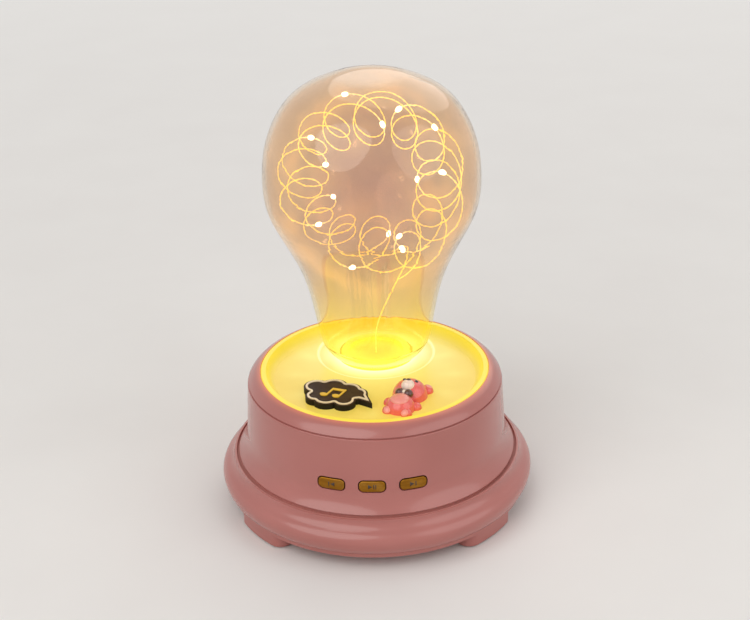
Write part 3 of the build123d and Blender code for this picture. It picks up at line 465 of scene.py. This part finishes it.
def cell_wrap():
    """A shrunk sleeve on the cell, bare steel at its ends."""
    finish = Finish("cell_wrap", coat_weight=0.4, coat_roughness=0.2)
    along = finish.sum("ABSOLUTE", finish.axis("Y"))
    end = along > CELL_SLEEVE
    crease = finish.noise(6, 3, 0.5, (1, 0.2, 1))
    tone = finish.blend(crease, paint(54, 112, 128), paint(72, 134, 150))
    finish.set(
        base_color=finish.blend(end, tone, paint(186, 186, 184)),
        metallic=end * 0.9,
        roughness=0.32 + 0.1 * crease,
    )
    finish.bump(crease, 0.2, 0.1)
    return finish


def cone_paper():
    """Pressed paper, dark and felted."""
    finish = Finish("cone_paper", specular_ior_level=0.2)
    fibres = finish.noise(1.4, 6, 0.7, (1, 1, 0.3))
    finish.set(
        base_color=finish.blend(fibres, paint(34, 32, 31), paint(66, 62, 58)),
        roughness=0.8 + 0.15 * fibres,
    )
    finish.bump(fibres, 0.7, 0.06)
    return finish


def magnet_steel():
    """A plated yoke, with the dark sintered ring showing between its plates."""
    finish = Finish("magnet_steel", coat_weight=0.1)
    height = finish.axis("Z")
    foot, top = MAGNET_RING
    ring = (height > foot) * (height < top)
    grain = finish.noise(0.9, 4)
    plate = finish.blend(grain, paint(152, 152, 150), paint(184, 184, 180))
    finish.set(
        base_color=finish.blend(ring, plate, paint(48, 47, 47)),
        metallic=1 - 0.9 * ring,
        roughness=0.32 + 0.3 * ring + 0.15 * grain,
    )
    finish.bump(grain * ring, 0.5, 0.05)
    return finish


def lamp_phosphor():
    """Small square lamps: a white case and a yellow lit face."""
    finish = Finish("lamp_phosphor", emission_strength=2.0)
    top = finish.axis("Z") > LAMP_FACE
    fine = finish.noise(0.6, 2)
    finish.set(
        base_color=finish.blend(top, paint(232, 230, 224), paint(244, 204, 84)),
        emission_color=finish.blend(top, paint(20, 16, 8), paint(255, 210, 110)),
        roughness=0.4 + 0.15 * fine,
    )
    return finish


def plaque_enamel():
    """Near black rubbery plastic, browner and glossier on top."""
    finish = Finish("plaque_enamel", specular_ior_level=0.25)
    top = finish.span(finish.axis("Z"), TRAY_FLOOR + 2.2, TRAY_FLOOR + 2.6)
    fine = finish.noise(1.1, 4)
    tone = finish.blend(fine, paint(34, 18, 9), paint(56, 30, 15))
    finish.set(
        base_color=finish.blend(top, paint(18, 13, 11), tone),
        roughness=0.5 - 0.1 * top + 0.12 * fine,
    )
    finish.bump(fine, 0.3, 0.05)
    return finish


def glossy_coral():
    """The bear's cast plastic, shinier and finer than the lamp's."""
    tones = paint(246, 112, 104), paint(226, 88, 84)
    return moulded("bear_coral", *tones, roughness=0.2, grain=0.7, coat_weight=0.6)


def painted(name, colour, shade, roughness=0.3):
    """Thick glossy paint with slight runs in it."""
    finish = Finish(name, coat_weight=0.6, coat_roughness=0.08)
    runs = finish.noise(1.6, 3)
    finish.set(
        base_color=finish.blend(runs, shade, colour),
        roughness=roughness + 0.12 * runs,
    )
    finish.bump(runs, 0.25, 0.05)
    return finish


# Shapes


def ring(radius, height, sides=24, shape=None):
    """Points round the Z axis, in millimetres, their radius changed by a shape of the turn."""
    points = []
    for side in range(sides):
        turn = 2 * pi * side / sides
        reach = radius * (shape(turn) if shape else 1)
        points.append((reach * cos(turn), reach * sin(turn), height))
    return points


def skin(rings):
    """One surface through rings of points, from the bottom up; a ring of one point is a pole."""
    shape = bmesh.new()
    made = [[shape.verts.new(Vector(point) * MM) for point in points] for points in rings]
    for low, high in zip(made, made[1:]):
        count = max(len(low), len(high))
        for side in range(count):
            after = (side + 1) % count
            corners = (
                low[side % len(low)],
                low[after % len(low)],
                high[after % len(high)],
                high[side % len(high)],
            )
            shape.faces.new(list(dict.fromkeys(corners)))
    return shape


def ball(width, height, steps=8, sides=20, taper=1):
    """A round or drawn-out ball of that half width and half height; a low taper fills its ends."""
    rows = [[(0, 0, -height)]]
    for step in range(1, steps):
        turn = pi * step / steps
        rows.append(ring(width * sin(turn) ** taper, -height * cos(turn), sides))
    return skin(rows + [[(0, 0, height)]])


def mesh_of(shape, name, place=None):
    """The shape as a smooth mesh, moved to its place."""
    if place:
        shape.transform(place)
    for face in shape.faces:
        face.smooth = True
    mesh = bpy.data.meshes.new(name)
    shape.to_mesh(mesh)
    shape.free()
    return mesh


def fitted(name, mesh, finish, body, slot, *stands_for):
    """A finished piece: it rides on its body, and stands for the nodes that it replaces."""
    piece = bpy.data.objects.new(name, mesh)
    bpy.context.scene.collection.objects.link(piece)
    if not mesh.materials:
        mesh.materials.append(finish.material)
    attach(piece, body)
    if stands_for:
        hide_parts(*stands_for)


class Grower(Tree):
    """A tree that grows a shape from points, with named inputs for what may change."""

    def __init__(self, name, **inputs):
        super().__init__(bpy.data.node_groups.new(name, "GeometryNodeTree"))
        sockets = self.tree.interface
        sockets.new_socket("Points", in_out="INPUT", socket_type="NodeSocketGeometry")
        self.chosen = {}
        for word, (kind, value) in inputs.items():
            socket = sockets.new_socket(word, in_out="INPUT", socket_type="NodeSocket" + kind)
            self.chosen[socket.identifier] = value
        sockets.new_socket("Shape", in_out="OUTPUT", socket_type="NodeSocketGeometry")
        start = self.tree.nodes.new("NodeGroupInput")
        self.given = {socket.name: Flow(self, socket) for socket in start.outputs if socket.name}

    def end(self, shape):
        """Ends the tree with the shape, all its copies made real and in its finish."""
        whole = self.node("GeometryNodeRealizeInstances", None, {0: shape})
        values = {0: whole, "Material": self.given["finish"]}
        dressed = self.node("GeometryNodeSetMaterial", None, values)
        output = self.tree.nodes.new("NodeGroupOutput")
        self.feed(output.inputs[0], dressed)

    def grow(self, mesh):
        """What the tree grows on the mesh, as a plain mesh."""
        seedling = bpy.data.objects.new(mesh.name, mesh)
        bpy.context.scene.collection.objects.link(seedling)
        modifier = seedling.modifiers.new("grow", "NODES")
        modifier.node_group = self.tree
        for identifier, value in self.chosen.items():
            modifier[identifier] = value
        graph = bpy.context.evaluated_depsgraph_get()
        grown = bpy.data.meshes.new_from_object(
            seedling.evaluated_get(graph), preserve_all_data_layers=True, depsgraph=graph
        )
        bpy.data.objects.remove(seedling)
        return grown


def points_mesh(name, points, edges=(), **attributes):
    """Bare points for a tree to grow from, with a number or a way kept at each."""
    mesh = bpy.data.meshes.new(name)
    mesh.from_pydata([Vector(point) * MM for point in points], edges, [])
    for word, values in attributes.items():
        vector = hasattr(values[0], "__len__")
        layer = mesh.attributes.new(word, "FLOAT_VECTOR" if vector else "FLOAT", "POINT")
        for place, value in zip(layer.data, values):
            setattr(place, "vector" if vector else "value", value)
    return mesh


def copies(name, piece, finish, points, ways, spin=0.0):
    """The piece at each point, its Z axis along that point's way, and spun by chance."""
    model = bpy.data.objects.new(name + "_model", piece)
    bpy.context.scene.collection.objects.link(model)
    tree = Grower(
        name,
        piece=("Object", model),
        spin=("Float", spin),
        seed=("Int", SEED),
        finish=("Material", finish.material),
    )
    values = {"Object": tree.given["piece"]}
    copied = tree.node("GeometryNodeObjectInfo", None, values, "Geometry")
    settings = {"data_type": "FLOAT_VECTOR"}
    upright = tree.node("GeometryNodeInputNamedAttribute", settings, {"Name": "way"})
    aim = tree.node("FunctionNodeAlignRotationToVector", {"axis": "Z"}, {"Vector": upright})
    values = {"Points": tree.given["Points"], "Instance": copied, "Rotation": aim}
    laid = tree.node("GeometryNodeInstanceOnPoints", None, values)
    values = {3: tree.given["spin"], "Seed": tree.given["seed"]}
    chance = tree.node("FunctionNodeRandomValue", {"data_type": "FLOAT"}, values, 1)
    spun = tree.node("ShaderNodeCombineXYZ", None, {"Z": chance})
    turned = tree.node("GeometryNodeRotateInstances", None, {"Instances": laid, "Rotation": spun})
    tree.end(turned)
    grown = tree.grow(points_mesh(name, points, way=[tuple(way) for way in ways]))
    bpy.data.objects.remove(model)
    return grown


def twisted_pair(name, finish, points, width, **attributes):
    """Two strands of round wire, twisted together along the line through the points."""
    lay = width / STRAND_SHARE
    tree = Grower(
        name,
        strand=("Float", (width / 2 - lay) * MM),
        lay=("Float", lay * MM),
        pitch=("Float", TWIST_PITCH * MM),
        spacing=("Float", TWIST_STEP * MM),
        finish=("Material", finish.material),
    )
    line = tree.node("GeometryNodeMeshToCurve", None, {"Mesh": tree.given["Points"]})
    values = {"Curve": line, "Length": tree.given["spacing"]}
    even = tree.node("GeometryNodeResampleCurve", {"mode": "LENGTH"}, values)
    along = tree.node("GeometryNodeSplineParameter", output="Length")
    tilt = along * (2 * pi) / tree.given["pitch"]
    twisted = tree.node("GeometryNodeSetCurveTilt", None, {"Curve": even, "Tilt": tilt})
    values = {"Resolution": 6, "Radius": tree.given["strand"]}
    section = tree.node("GeometryNodeCurvePrimitiveCircle", {"mode": "RADIUS"}, values)
    pair = tree.tree.nodes.new("GeometryNodeJoinGeometry")
    for way in (-1, 1):
        aside = tree.node("ShaderNodeCombineXYZ", None, {"X": tree.given["lay"] * way})
        values = {"Geometry": section, "Translation": aside}
        tree.feed(pair.inputs[0], tree.node("GeometryNodeTransform", None, values))
    sections = Flow(tree, pair.outputs[0])
    values = {"Curve": twisted, "Profile Curve": sections, "Fill Caps": True}
    tree.end(tree.node("GeometryNodeCurveToMesh", None, values))
    edges = [(place, place + 1) for place in range(len(points) - 1)]
    mesh = tree.grow(points_mesh(name, points, edges, **attributes))
    mesh.shade_smooth()
    return mesh


# Screws, in place of the plain ones


def solids_of(node):
    """The box of each of a node's solids, in millimetres."""
    shape = bmesh.new()
    shape.from_mesh(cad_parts[node].data)
    bmesh.ops.remove_doubles(shape, verts=shape.verts, dist=1e-7)
    waiting = set(shape.verts)
    boxes = []
    while waiting:
        solid = [waiting.pop()]
        for vertex in solid:
            for edge in vertex.link_edges:
                other = edge.other_vert(vertex)
                if other in waiting:
                    waiting.remove(other)
                    solid.append(other)
        low = Vector(min(v.co[i] for v in solid) for i in range(3)) / MM
        high = Vector(max(v.co[i] for v in solid) for i in range(3)) / MM
        boxes.append((low, high))
    shape.free()
    return sorted(boxes, key=lambda box: tuple(box[0]))


def cross(turn):
    """How far a cross recess reaches that way, as a share of the head's radius."""
    arm, half_width, least = 0.58, 0.15, 1e-6
    along = max(abs(cos(turn)), least)
    across = max(abs(sin(turn)), least)
    return max(min(arm / along, half_width / across), min(half_width / along, arm / across))


def screw(name, head, head_height, shank, length):
    """A pan head screw with a cross recess and a rolled thread, its head's seat at the origin."""
    tip, neck = 0.5, 0.3
    rows = [[(0, 0, -length)], ring(0.3 * shank, 0.05 - length)]
    height = tip - length
    while height < -neck:
        lean = 2 * pi * height / THREAD_PITCH
        rows.append(ring(shank, height, shape=lambda turn: 0.9 + 0.1 * cos(turn - lean)))
        height += THREAD_PITCH / 6
    rows += [
        ring(shank, -0.05),
        ring(head - 0.12, 0),
        ring(head, 0.12),
        ring(head, head_height * 0.6),
        ring(head - 0.25, head_height * 0.9),
        ring(head * 0.72, head_height),
        ring(head, head_height, shape=cross),
        ring(head * 0.85, head_height * 0.45, shape=cross),
        [(0, 0, head_height * 0.35)],
    ]
    return mesh_of(skin(rows), name)


def screws(node, way, sizes, finish):
    """Threaded screws where the node's plain ones are, heads the same way."""
    head_height, shank = sizes
    way = Vector(way)
    seats = []
    for low, high in solids_of(node):
        half = (high - low) / 2
        reach = abs(half.dot(way))
        head = max(abs(part) for part in half.cross(way))
        seats.append((low + high) / 2 + way * (reach - head_height))
    model = screw(node + "_screw", head, head_height, shank, 2 * reach - head_height)
    mesh = copies(node + "_set", model, finish, seats, [way] * len(seats), spin=6.0)
    fitted(node + "_threaded", mesh, finish, "lamp", "screw_steel", node)


# The fairy light wire and its beads


def wreath(turns):
    """A place on the wreath of loops, after so many loops from its start."""
    spoke = radians(WREATH_START - 360 * WIRE_ROUNDS * turns / WIRE_LOOPS)
    phase = -2 * pi * turns
    reach = WREATH_RADIUS * (1 + WREATH_SWELL * sin(1.7 * turns))
    loop = LOOP_RADIUS * (1 + LOOP_SWELL * sin(2.1 * turns + 0.5))
    out = reach + loop * cos(phase)
    along = loop * sin(phase)
    return Vector(
        (
            out * cos(spoke) - along * sin(spoke),
            BULB_BACK + WREATH_DEPTH * (1 - 2 * turns / WIRE_LOOPS) + LOOP_DEPTH * sin(phase),
            WREATH_MIDDLE + out * sin(spoke) + along * cos(spoke),
        )
    )


def wreath_way(turns):
    """Which way the wire runs there."""
    return (wreath(turns + 0.001) - wreath(turns - 0.001)).normalized()


def wire_lead(steps=20, slack=0.42):
    """The wire's way up from the plug into the first loop, on a curve of four corners."""
    foot = Vector((0, BULB_BACK, PLUG_TOP - WIRE_SEAT))
    bend = Vector((0, BULB_BACK, PLUG_TOP + WIRE_RISE))
    first = wreath(0)
    pull = (first - bend).length * slack
    corners = (bend, bend + Vector((0, 0, pull)), first - wreath_way(0) * pull, first)
    line = [foot]
    for step in range(steps):
        t = step / steps
        weights = ((1 - t) ** 3, 3 * t * (1 - t) ** 2, 3 * t * t * (1 - t), t**3)
        line.append(sum((corner * weight for corner, weight in zip(corners, weights)), Vector()))
    return line


def fairy_lights():
    """The wire as a twisted pair, and a drop of resin over each of its lamps."""
    bead_turns = [(BEAD_FIRST + BEAD_STEP * place) / 4 for place in range(BEAD_COUNT)]
    beads = [wreath(turns) for turns in bead_turns]
    loops = [wreath(step / LOOP_STEPS) for step in range(LOOP_STEPS * WIRE_LOOPS + 1)]
    path = wire_lead() + loops
    # how near each place lies to a bead, for the wire's painted glow
    near = [1 / (1 + min((place - bead).length for bead in beads) ** 2 / 30) for place in path]
    copper = lit_wire()
    mesh = twisted_pair("wire_pair", copper, path, WIRE_WIDTH, near_bead=near)
    fitted("fairy_wire_twisted", mesh, copper, "lamp", "wire_copper", "fairy_wire")
    glow = bright_bead()
    shape = ball(BEAD_RADIUS, BEAD_HALF_LENGTH, steps=10, sides=16, taper=0.8)
    drop = mesh_of(shape, "drop")
    drops = copies("drops", drop, glow, beads, [wreath_way(turns) for turns in bead_turns])
    fitted("bead_drops", drops, glow, "lamp", "bead_glow", "led_beads")


# The signs on the buttons


def bar(width, height):
    return [(-width, -height), (width, -height), (width, height), (-width, height)]


def arrow(size):
    return [(-size * 0.8, -size), (size, 0), (-size * 0.8, size)]


def button_sign(name, body, x, ink, *outlines):
    """Thin raised signs on a button's round face, from (offset, outline) pairs."""
    shape = bmesh.new()
    for offset, outline in outlines:
        rings = []
        for lift, share in SIGN_PROFILE:
            places = [(x + offset + a * share, BUTTON_HEIGHT + b * share) for a, b in outline]
            points = [(a, -sqrt(BUTTON_FACE**2 - a * a) - lift, b) for a, b in places]
            rings.append(points if share else points[:1])
        part = mesh_of(skin(rings), "sign")
        shape.from_mesh(part)
        bpy.data.meshes.remove(part)
    fitted(name, mesh_of(shape, name), ink, body, "button_gold")


def button_signs():
    """Back, play and next."""
    ink = painted("sign_ink", paint(48, 28, 12), paint(34, 18, 8), roughness=0.4)
    on = arrow(1.0)
    back = [(-a, -b) for a, b in on]
    stroke = bar(0.2, 1.0)
    button_sign("sign_back", "left_button", -BUTTON_PITCH, ink, (0.5, back), (-1.1, stroke))
    button_sign("sign_play", "centre_button", 0.0, ink, (-0.9, on), (0.7, stroke), (1.5, stroke))
    button_sign("sign_next", "right_button", BUTTON_PITCH, ink, (-0.5, on), (1.1, stroke))


# The bear's small parts


def patch(radius, spread, steps=6):
    """A thin crowned patch for a ball: it covers so many degrees each side of the top."""
    rows = [[(0, 0, radius * cos(radians(spread)) - 0.3)]]
    rows.append(ring(radius * sin(radians(spread)), radius * cos(radians(spread)) - 0.2))
    crown = radius + PATCH_LIFT
    for step in range(steps, 0, -1):
        turn = radians(spread * step / steps)
        rows.append(ring(crown * sin(turn), crown * cos(turn)))
    return skin(rows + [[(0, 0, crown)]])


def on_bear(centre, way, reach=0.0):
    """The place on the bear that lies so far from a ball's centre, its Z axis along the way."""
    stand = Matrix.Translation(Vector((*BEAR_PLACE, TRAY_FLOOR)) * MM)
    bear = stand @ Matrix.Rotation(radians(BEAR_TURN), 4, "Z")
    way = Vector(way).normalized()
    spot = Matrix.Translation((Vector(centre) + way * reach) * MM)
    return bear @ spot @ way.to_track_quat("Z", "Y").to_matrix().to_4x4()


def bear_side(side, name, black, peach):
    """An eye, an ear's hollow and a sole, on the bear's left for -1 or its right for 1."""
    eye_spot = on_bear((0, 0, 0), (0.36 * side, 0.1, 0.93), HEAD_RADIUS - 0.1)
    eye = mesh_of(ball(0.85, 0.6), "eye", eye_spot)
    fitted("bear_eye_" + name, eye, black, "lamp", "bear_brown")
    ear_spot = on_bear((EAR_PLACE[0] * side, EAR_PLACE[1], 0), (0.3 * side, 0.35, 1))
    ear = mesh_of(patch(EAR_RADIUS, 36), "ear", ear_spot)
    fitted("bear_ear_" + name, ear, peach, "lamp", "bear_cream")
    sole_spot = on_bear((LEG_PLACE[0] * side, LEG_PLACE[1], 0), (0, -0.8, 0.75))
    sole = mesh_of(patch(LEG_RADIUS, 34), "sole", sole_spot)
    fitted("bear_sole_" + name, sole, peach, "lamp", "bear_cream")


def bear_details():
    """The bear's face and patches, and the knot of its bow."""
    black = painted("eye_black", paint(26, 20, 20), paint(12, 10, 10), roughness=0.12)
    peach = painted("bear_peach", paint(250, 160, 146), paint(240, 142, 130))
    brown = painted("nose_brown", paint(84, 46, 32), paint(62, 32, 22), roughness=0.16)
    linen = painted("knot_cream", paint(250, 236, 214), paint(232, 208, 180))
    bear_side(-1, "left", black, peach)
    bear_side(1, "right", black, peach)
    nose_spot = on_bear(MUZZLE_PLACE, (0, 0.28, 1), MUZZLE_RADIUS - 0.15)
    nose = mesh_of(ball(1.05, 0.65), "nose", nose_spot)
    fitted("bear_nose", nose, brown, "lamp", "bear_brown")
    belly_spot = on_bear((0, -BELLY_DROP, 0), (0, -0.12, 1))
    belly = mesh_of(patch(BELLY_RADIUS, 38), "belly", belly_spot)
    fitted("bear_belly", belly, peach, "lamp", "bear_cream")
    knot = mesh_of(ball(1.1, 0.9), "knot", on_bear(KNOT_PLACE, (0, 0, 1), 0.5))
    fitted("bear_knot", knot, linen, "lamp", "bear_brown")


# The floor, the light and the camera


def is_seen(tree):
    """1 for a ray that comes straight to the eye, off a shiny piece or through the bulb."""
    kinds = ("Is Camera Ray", "Is Glossy Ray", "Is Transmission Ray")
    straight, shiny, through = [tree.node("ShaderNodeLightPath", output=kind) for kind in kinds]
    return tree.sum("MAXIMUM", tree.sum("MAXIMUM", straight, shiny), through)


def pale_floor(pale):
    """A wide pale floor that keeps the lamp's shadow, and fades into the background far off."""
    floor = Finish("pale_floor", specular_ior_level=0.2)
    dust = floor.noise(60, 4)
    floor.set(
        base_color=floor.blend(dust, paint(232, 229, 226), paint(238, 236, 233)),
        roughness=0.8 + 0.1 * dust,
    )
    far = floor.span(floor.away_from(0, 0), *FLOOR_FADE)
    faded = floor.node("ShaderNodeEmission", None, {"Color": pale, "Strength": 1.0})
    parts = {0: far * is_seen(floor), 1: Flow(floor, floor.shader.outputs[0]), 2: faded}
    floor.feed(floor.output.inputs[0], floor.node("ShaderNodeMixShader", None, parts))
    shape = bmesh.new()
    edge = ring(FLOOR_RADIUS, -0.2, 96)
    shape.faces.new([shape.verts.new(Vector(point) * MM) for point in edge])
    piece = bpy.data.objects.new("floor", mesh_of(shape, "floor"))
    piece.data.materials.append(floor.material)
    bpy.context.scene.collection.objects.link(piece)


def pale_world(pale):
    """Even light from all round, and a pale background for what the eye sees."""
    world = bpy.data.worlds.new("studio")
    world.use_nodes = True
    sky = Tree(world.node_tree)
    world.node_tree.nodes.clear()
    lit = sky.node("ShaderNodeBackground", None, {"Color": (1, 1, 1, 1), "Strength": 0.45})
    shown = sky.node("ShaderNodeBackground", None, {"Color": pale, "Strength": 1.0})
    mixed = sky.node("ShaderNodeMixShader", None, {0: is_seen(sky), 1: lit, 2: shown})
    output = world.node_tree.nodes.new("ShaderNodeOutputWorld")
    sky.feed(output.inputs[0], mixed)
    bpy.context.scene.world = world


def soft_lamp(name, place, size, watts, colour):
    """A round studio lamp that faces the object, its place and size in metres."""
    light = bpy.data.lights.new(name, "AREA")
    light.shape = "DISK"
    light.size = size
    light.energy = watts
    light.color = colour
    lamp = bpy.data.objects.new(name, light)
    lamp.location = place
    ahead = Vector((0, 0, 0.08)) - Vector(place)
    lamp.rotation_euler = ahead.to_track_quat("-Z", "Y").to_euler()
    bpy.context.scene.collection.objects.link(lamp)


def photo_camera():
    """The photograph's view: a long lens, a little above the lamp, tilted by a degree or so."""
    high, roll, turn = radians(25.77), radians(-1.44), radians(2.2)
    middle, distance = Vector((0.00082, 0, 0.08816)), 0.65
    ahead = Vector((0, cos(high), -sin(high)))
    up = Vector((0, sin(high), cos(high)))
    right = Vector((1, 0, 0))
    tilted_right = right * cos(roll) + up * sin(roll)
    tilted_up = up * cos(roll) - right * sin(roll)
    axes = Matrix((tilted_right, tilted_up, -ahead)).transposed().to_4x4()
    place = middle - ahead * distance
    data = bpy.data.cameras.new("photo_camera")
    data.sensor_width = 36
    data.lens = 72.7
    data.clip_end = 20
    camera = bpy.data.objects.new("photo_camera", data)
    camera.matrix_world = Matrix.Rotation(turn, 4, "Z") @ Matrix.Translation(place) @ axes
    bpy.context.scene.collection.objects.link(camera)
    bpy.context.scene.camera = camera


# The whole lamp

board_green = circuit("board_green", paint(24, 92, 58), paint(60, 140, 84))
steel = worked_metal(
    "screw_steel", paint(170, 170, 172), paint(128, 128, 132), 0.3, size=1.2, stretch=(1, 1, 0.2)
)
tin = worked_metal(
    "socket_tin", paint(196, 196, 198), paint(150, 150, 154), 0.26, size=1.5, stretch=(0.2, 1, 1)
)
frame_steel = worked_metal("frame_steel", paint(120, 120, 122), paint(84, 84, 88), 0.36, size=2.5)
chip = moulded("chip_black", paint(40, 40, 42), paint(24, 24, 26), 0.5, grain=0.5, coat_weight=0.0)
gold = button_gold()
finishes = {
    "bottom_cover": rose("cover_rose", roughness=0.34),
    "foot_pads": soft_rubber("pad_rubber", paint(52, 48, 48), paint(86, 80, 78)),
    "flange_housing": flange_rose(),
    "body_housing": rose("body_rose"),
    "top_bezel": bezel_rose(),
    "light_tray": lit_tray(),
    "bulb_shade": clear_bulb(),
    "bulb_ring": moulded("ring_milk", paint(232, 230, 224), paint(214, 210, 202)),
    "wire_plug": plug_plastic(),
    "button_left": gold,
    "button_centre": gold,
    "button_right": gold,
    "switch_stem_left": chip,
    "switch_stem_centre": chip,
    "switch_stem_right": chip,
    "push_switches": tin,
    "button_board": board_green,
    "main_board": board_green,
    "board_components": chip,
    "usb_socket": tin,
    "power_switch": tin,
    "power_knob": moulded("knob_black", paint(44, 42, 42), paint(28, 27, 27), 0.4, grain=0.6),
    "battery_cell": cell_wrap(),
    "speaker_frame": frame_steel,
    "speaker_magnet": magnet_steel(),
    "speaker_cone": cone_paper(),
    "dust_cap": soft_rubber("cap_rubber", paint(30, 29, 29), paint(58, 55, 53)),
    "voice_coil": wound_copper(),
    "cone_surround": soft_rubber("surround_rubber", paint(26, 26, 27), paint(54, 52, 51)),
    "led_board": circuit("board_white", paint(226, 226, 220), paint(204, 204, 196)),
    "led_lamps": lamp_phosphor(),
    "cloud_plaque": plaque_enamel(),
    "cloud_outline": painted("plaque_cream", paint(250, 232, 196), paint(238, 212, 166)),
    "cloud_notes": painted("plaque_yellow", paint(250, 206, 60), paint(232, 176, 36)),
    "bear_charm": glossy_coral(),
    "bear_muzzle": painted("muzzle_cream", paint(254, 232, 216), paint(242, 210, 190)),
    "bear_bow": painted("bow_brown", paint(92, 46, 34), paint(66, 32, 24)),
}
for node, finish in finishes.items():
    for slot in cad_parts[node].material_slots:
        slot.material = finish.material

screws("case_screws", DOWN, CASE_SCREW, steel)
screws("speaker_screws", UP, CLAMP_SCREW, steel)
screws("main_board_screws", DOWN, SMALL_SCREW, steel)
screws("button_board_screws", BACK, SMALL_SCREW, steel)
screws("bezel_screws", DOWN, SMALL_SCREW, steel)
screws("light_board_screws", UP, SMALL_SCREW, steel)
fairy_lights()
bear_details()
button_signs()

background = paint(236, 234, 231)
pale_floor(background)
pale_world(background)
soft_lamp("key", (-0.75, -0.95, 1.25), size=1.8, watts=13.5, colour=(1.0, 0.98, 0.96))
soft_lamp("fill", (1.1, -0.6, 0.8), size=1.5, watts=5.5, colour=(1.0, 0.98, 0.97))
soft_lamp("rear", (0.3, 1.1, 1.2), size=1.9, watts=6.0, colour=(1.0, 0.97, 0.94))
photo_camera()
bpy.context.scene.view_settings.view_transform = "Standard"
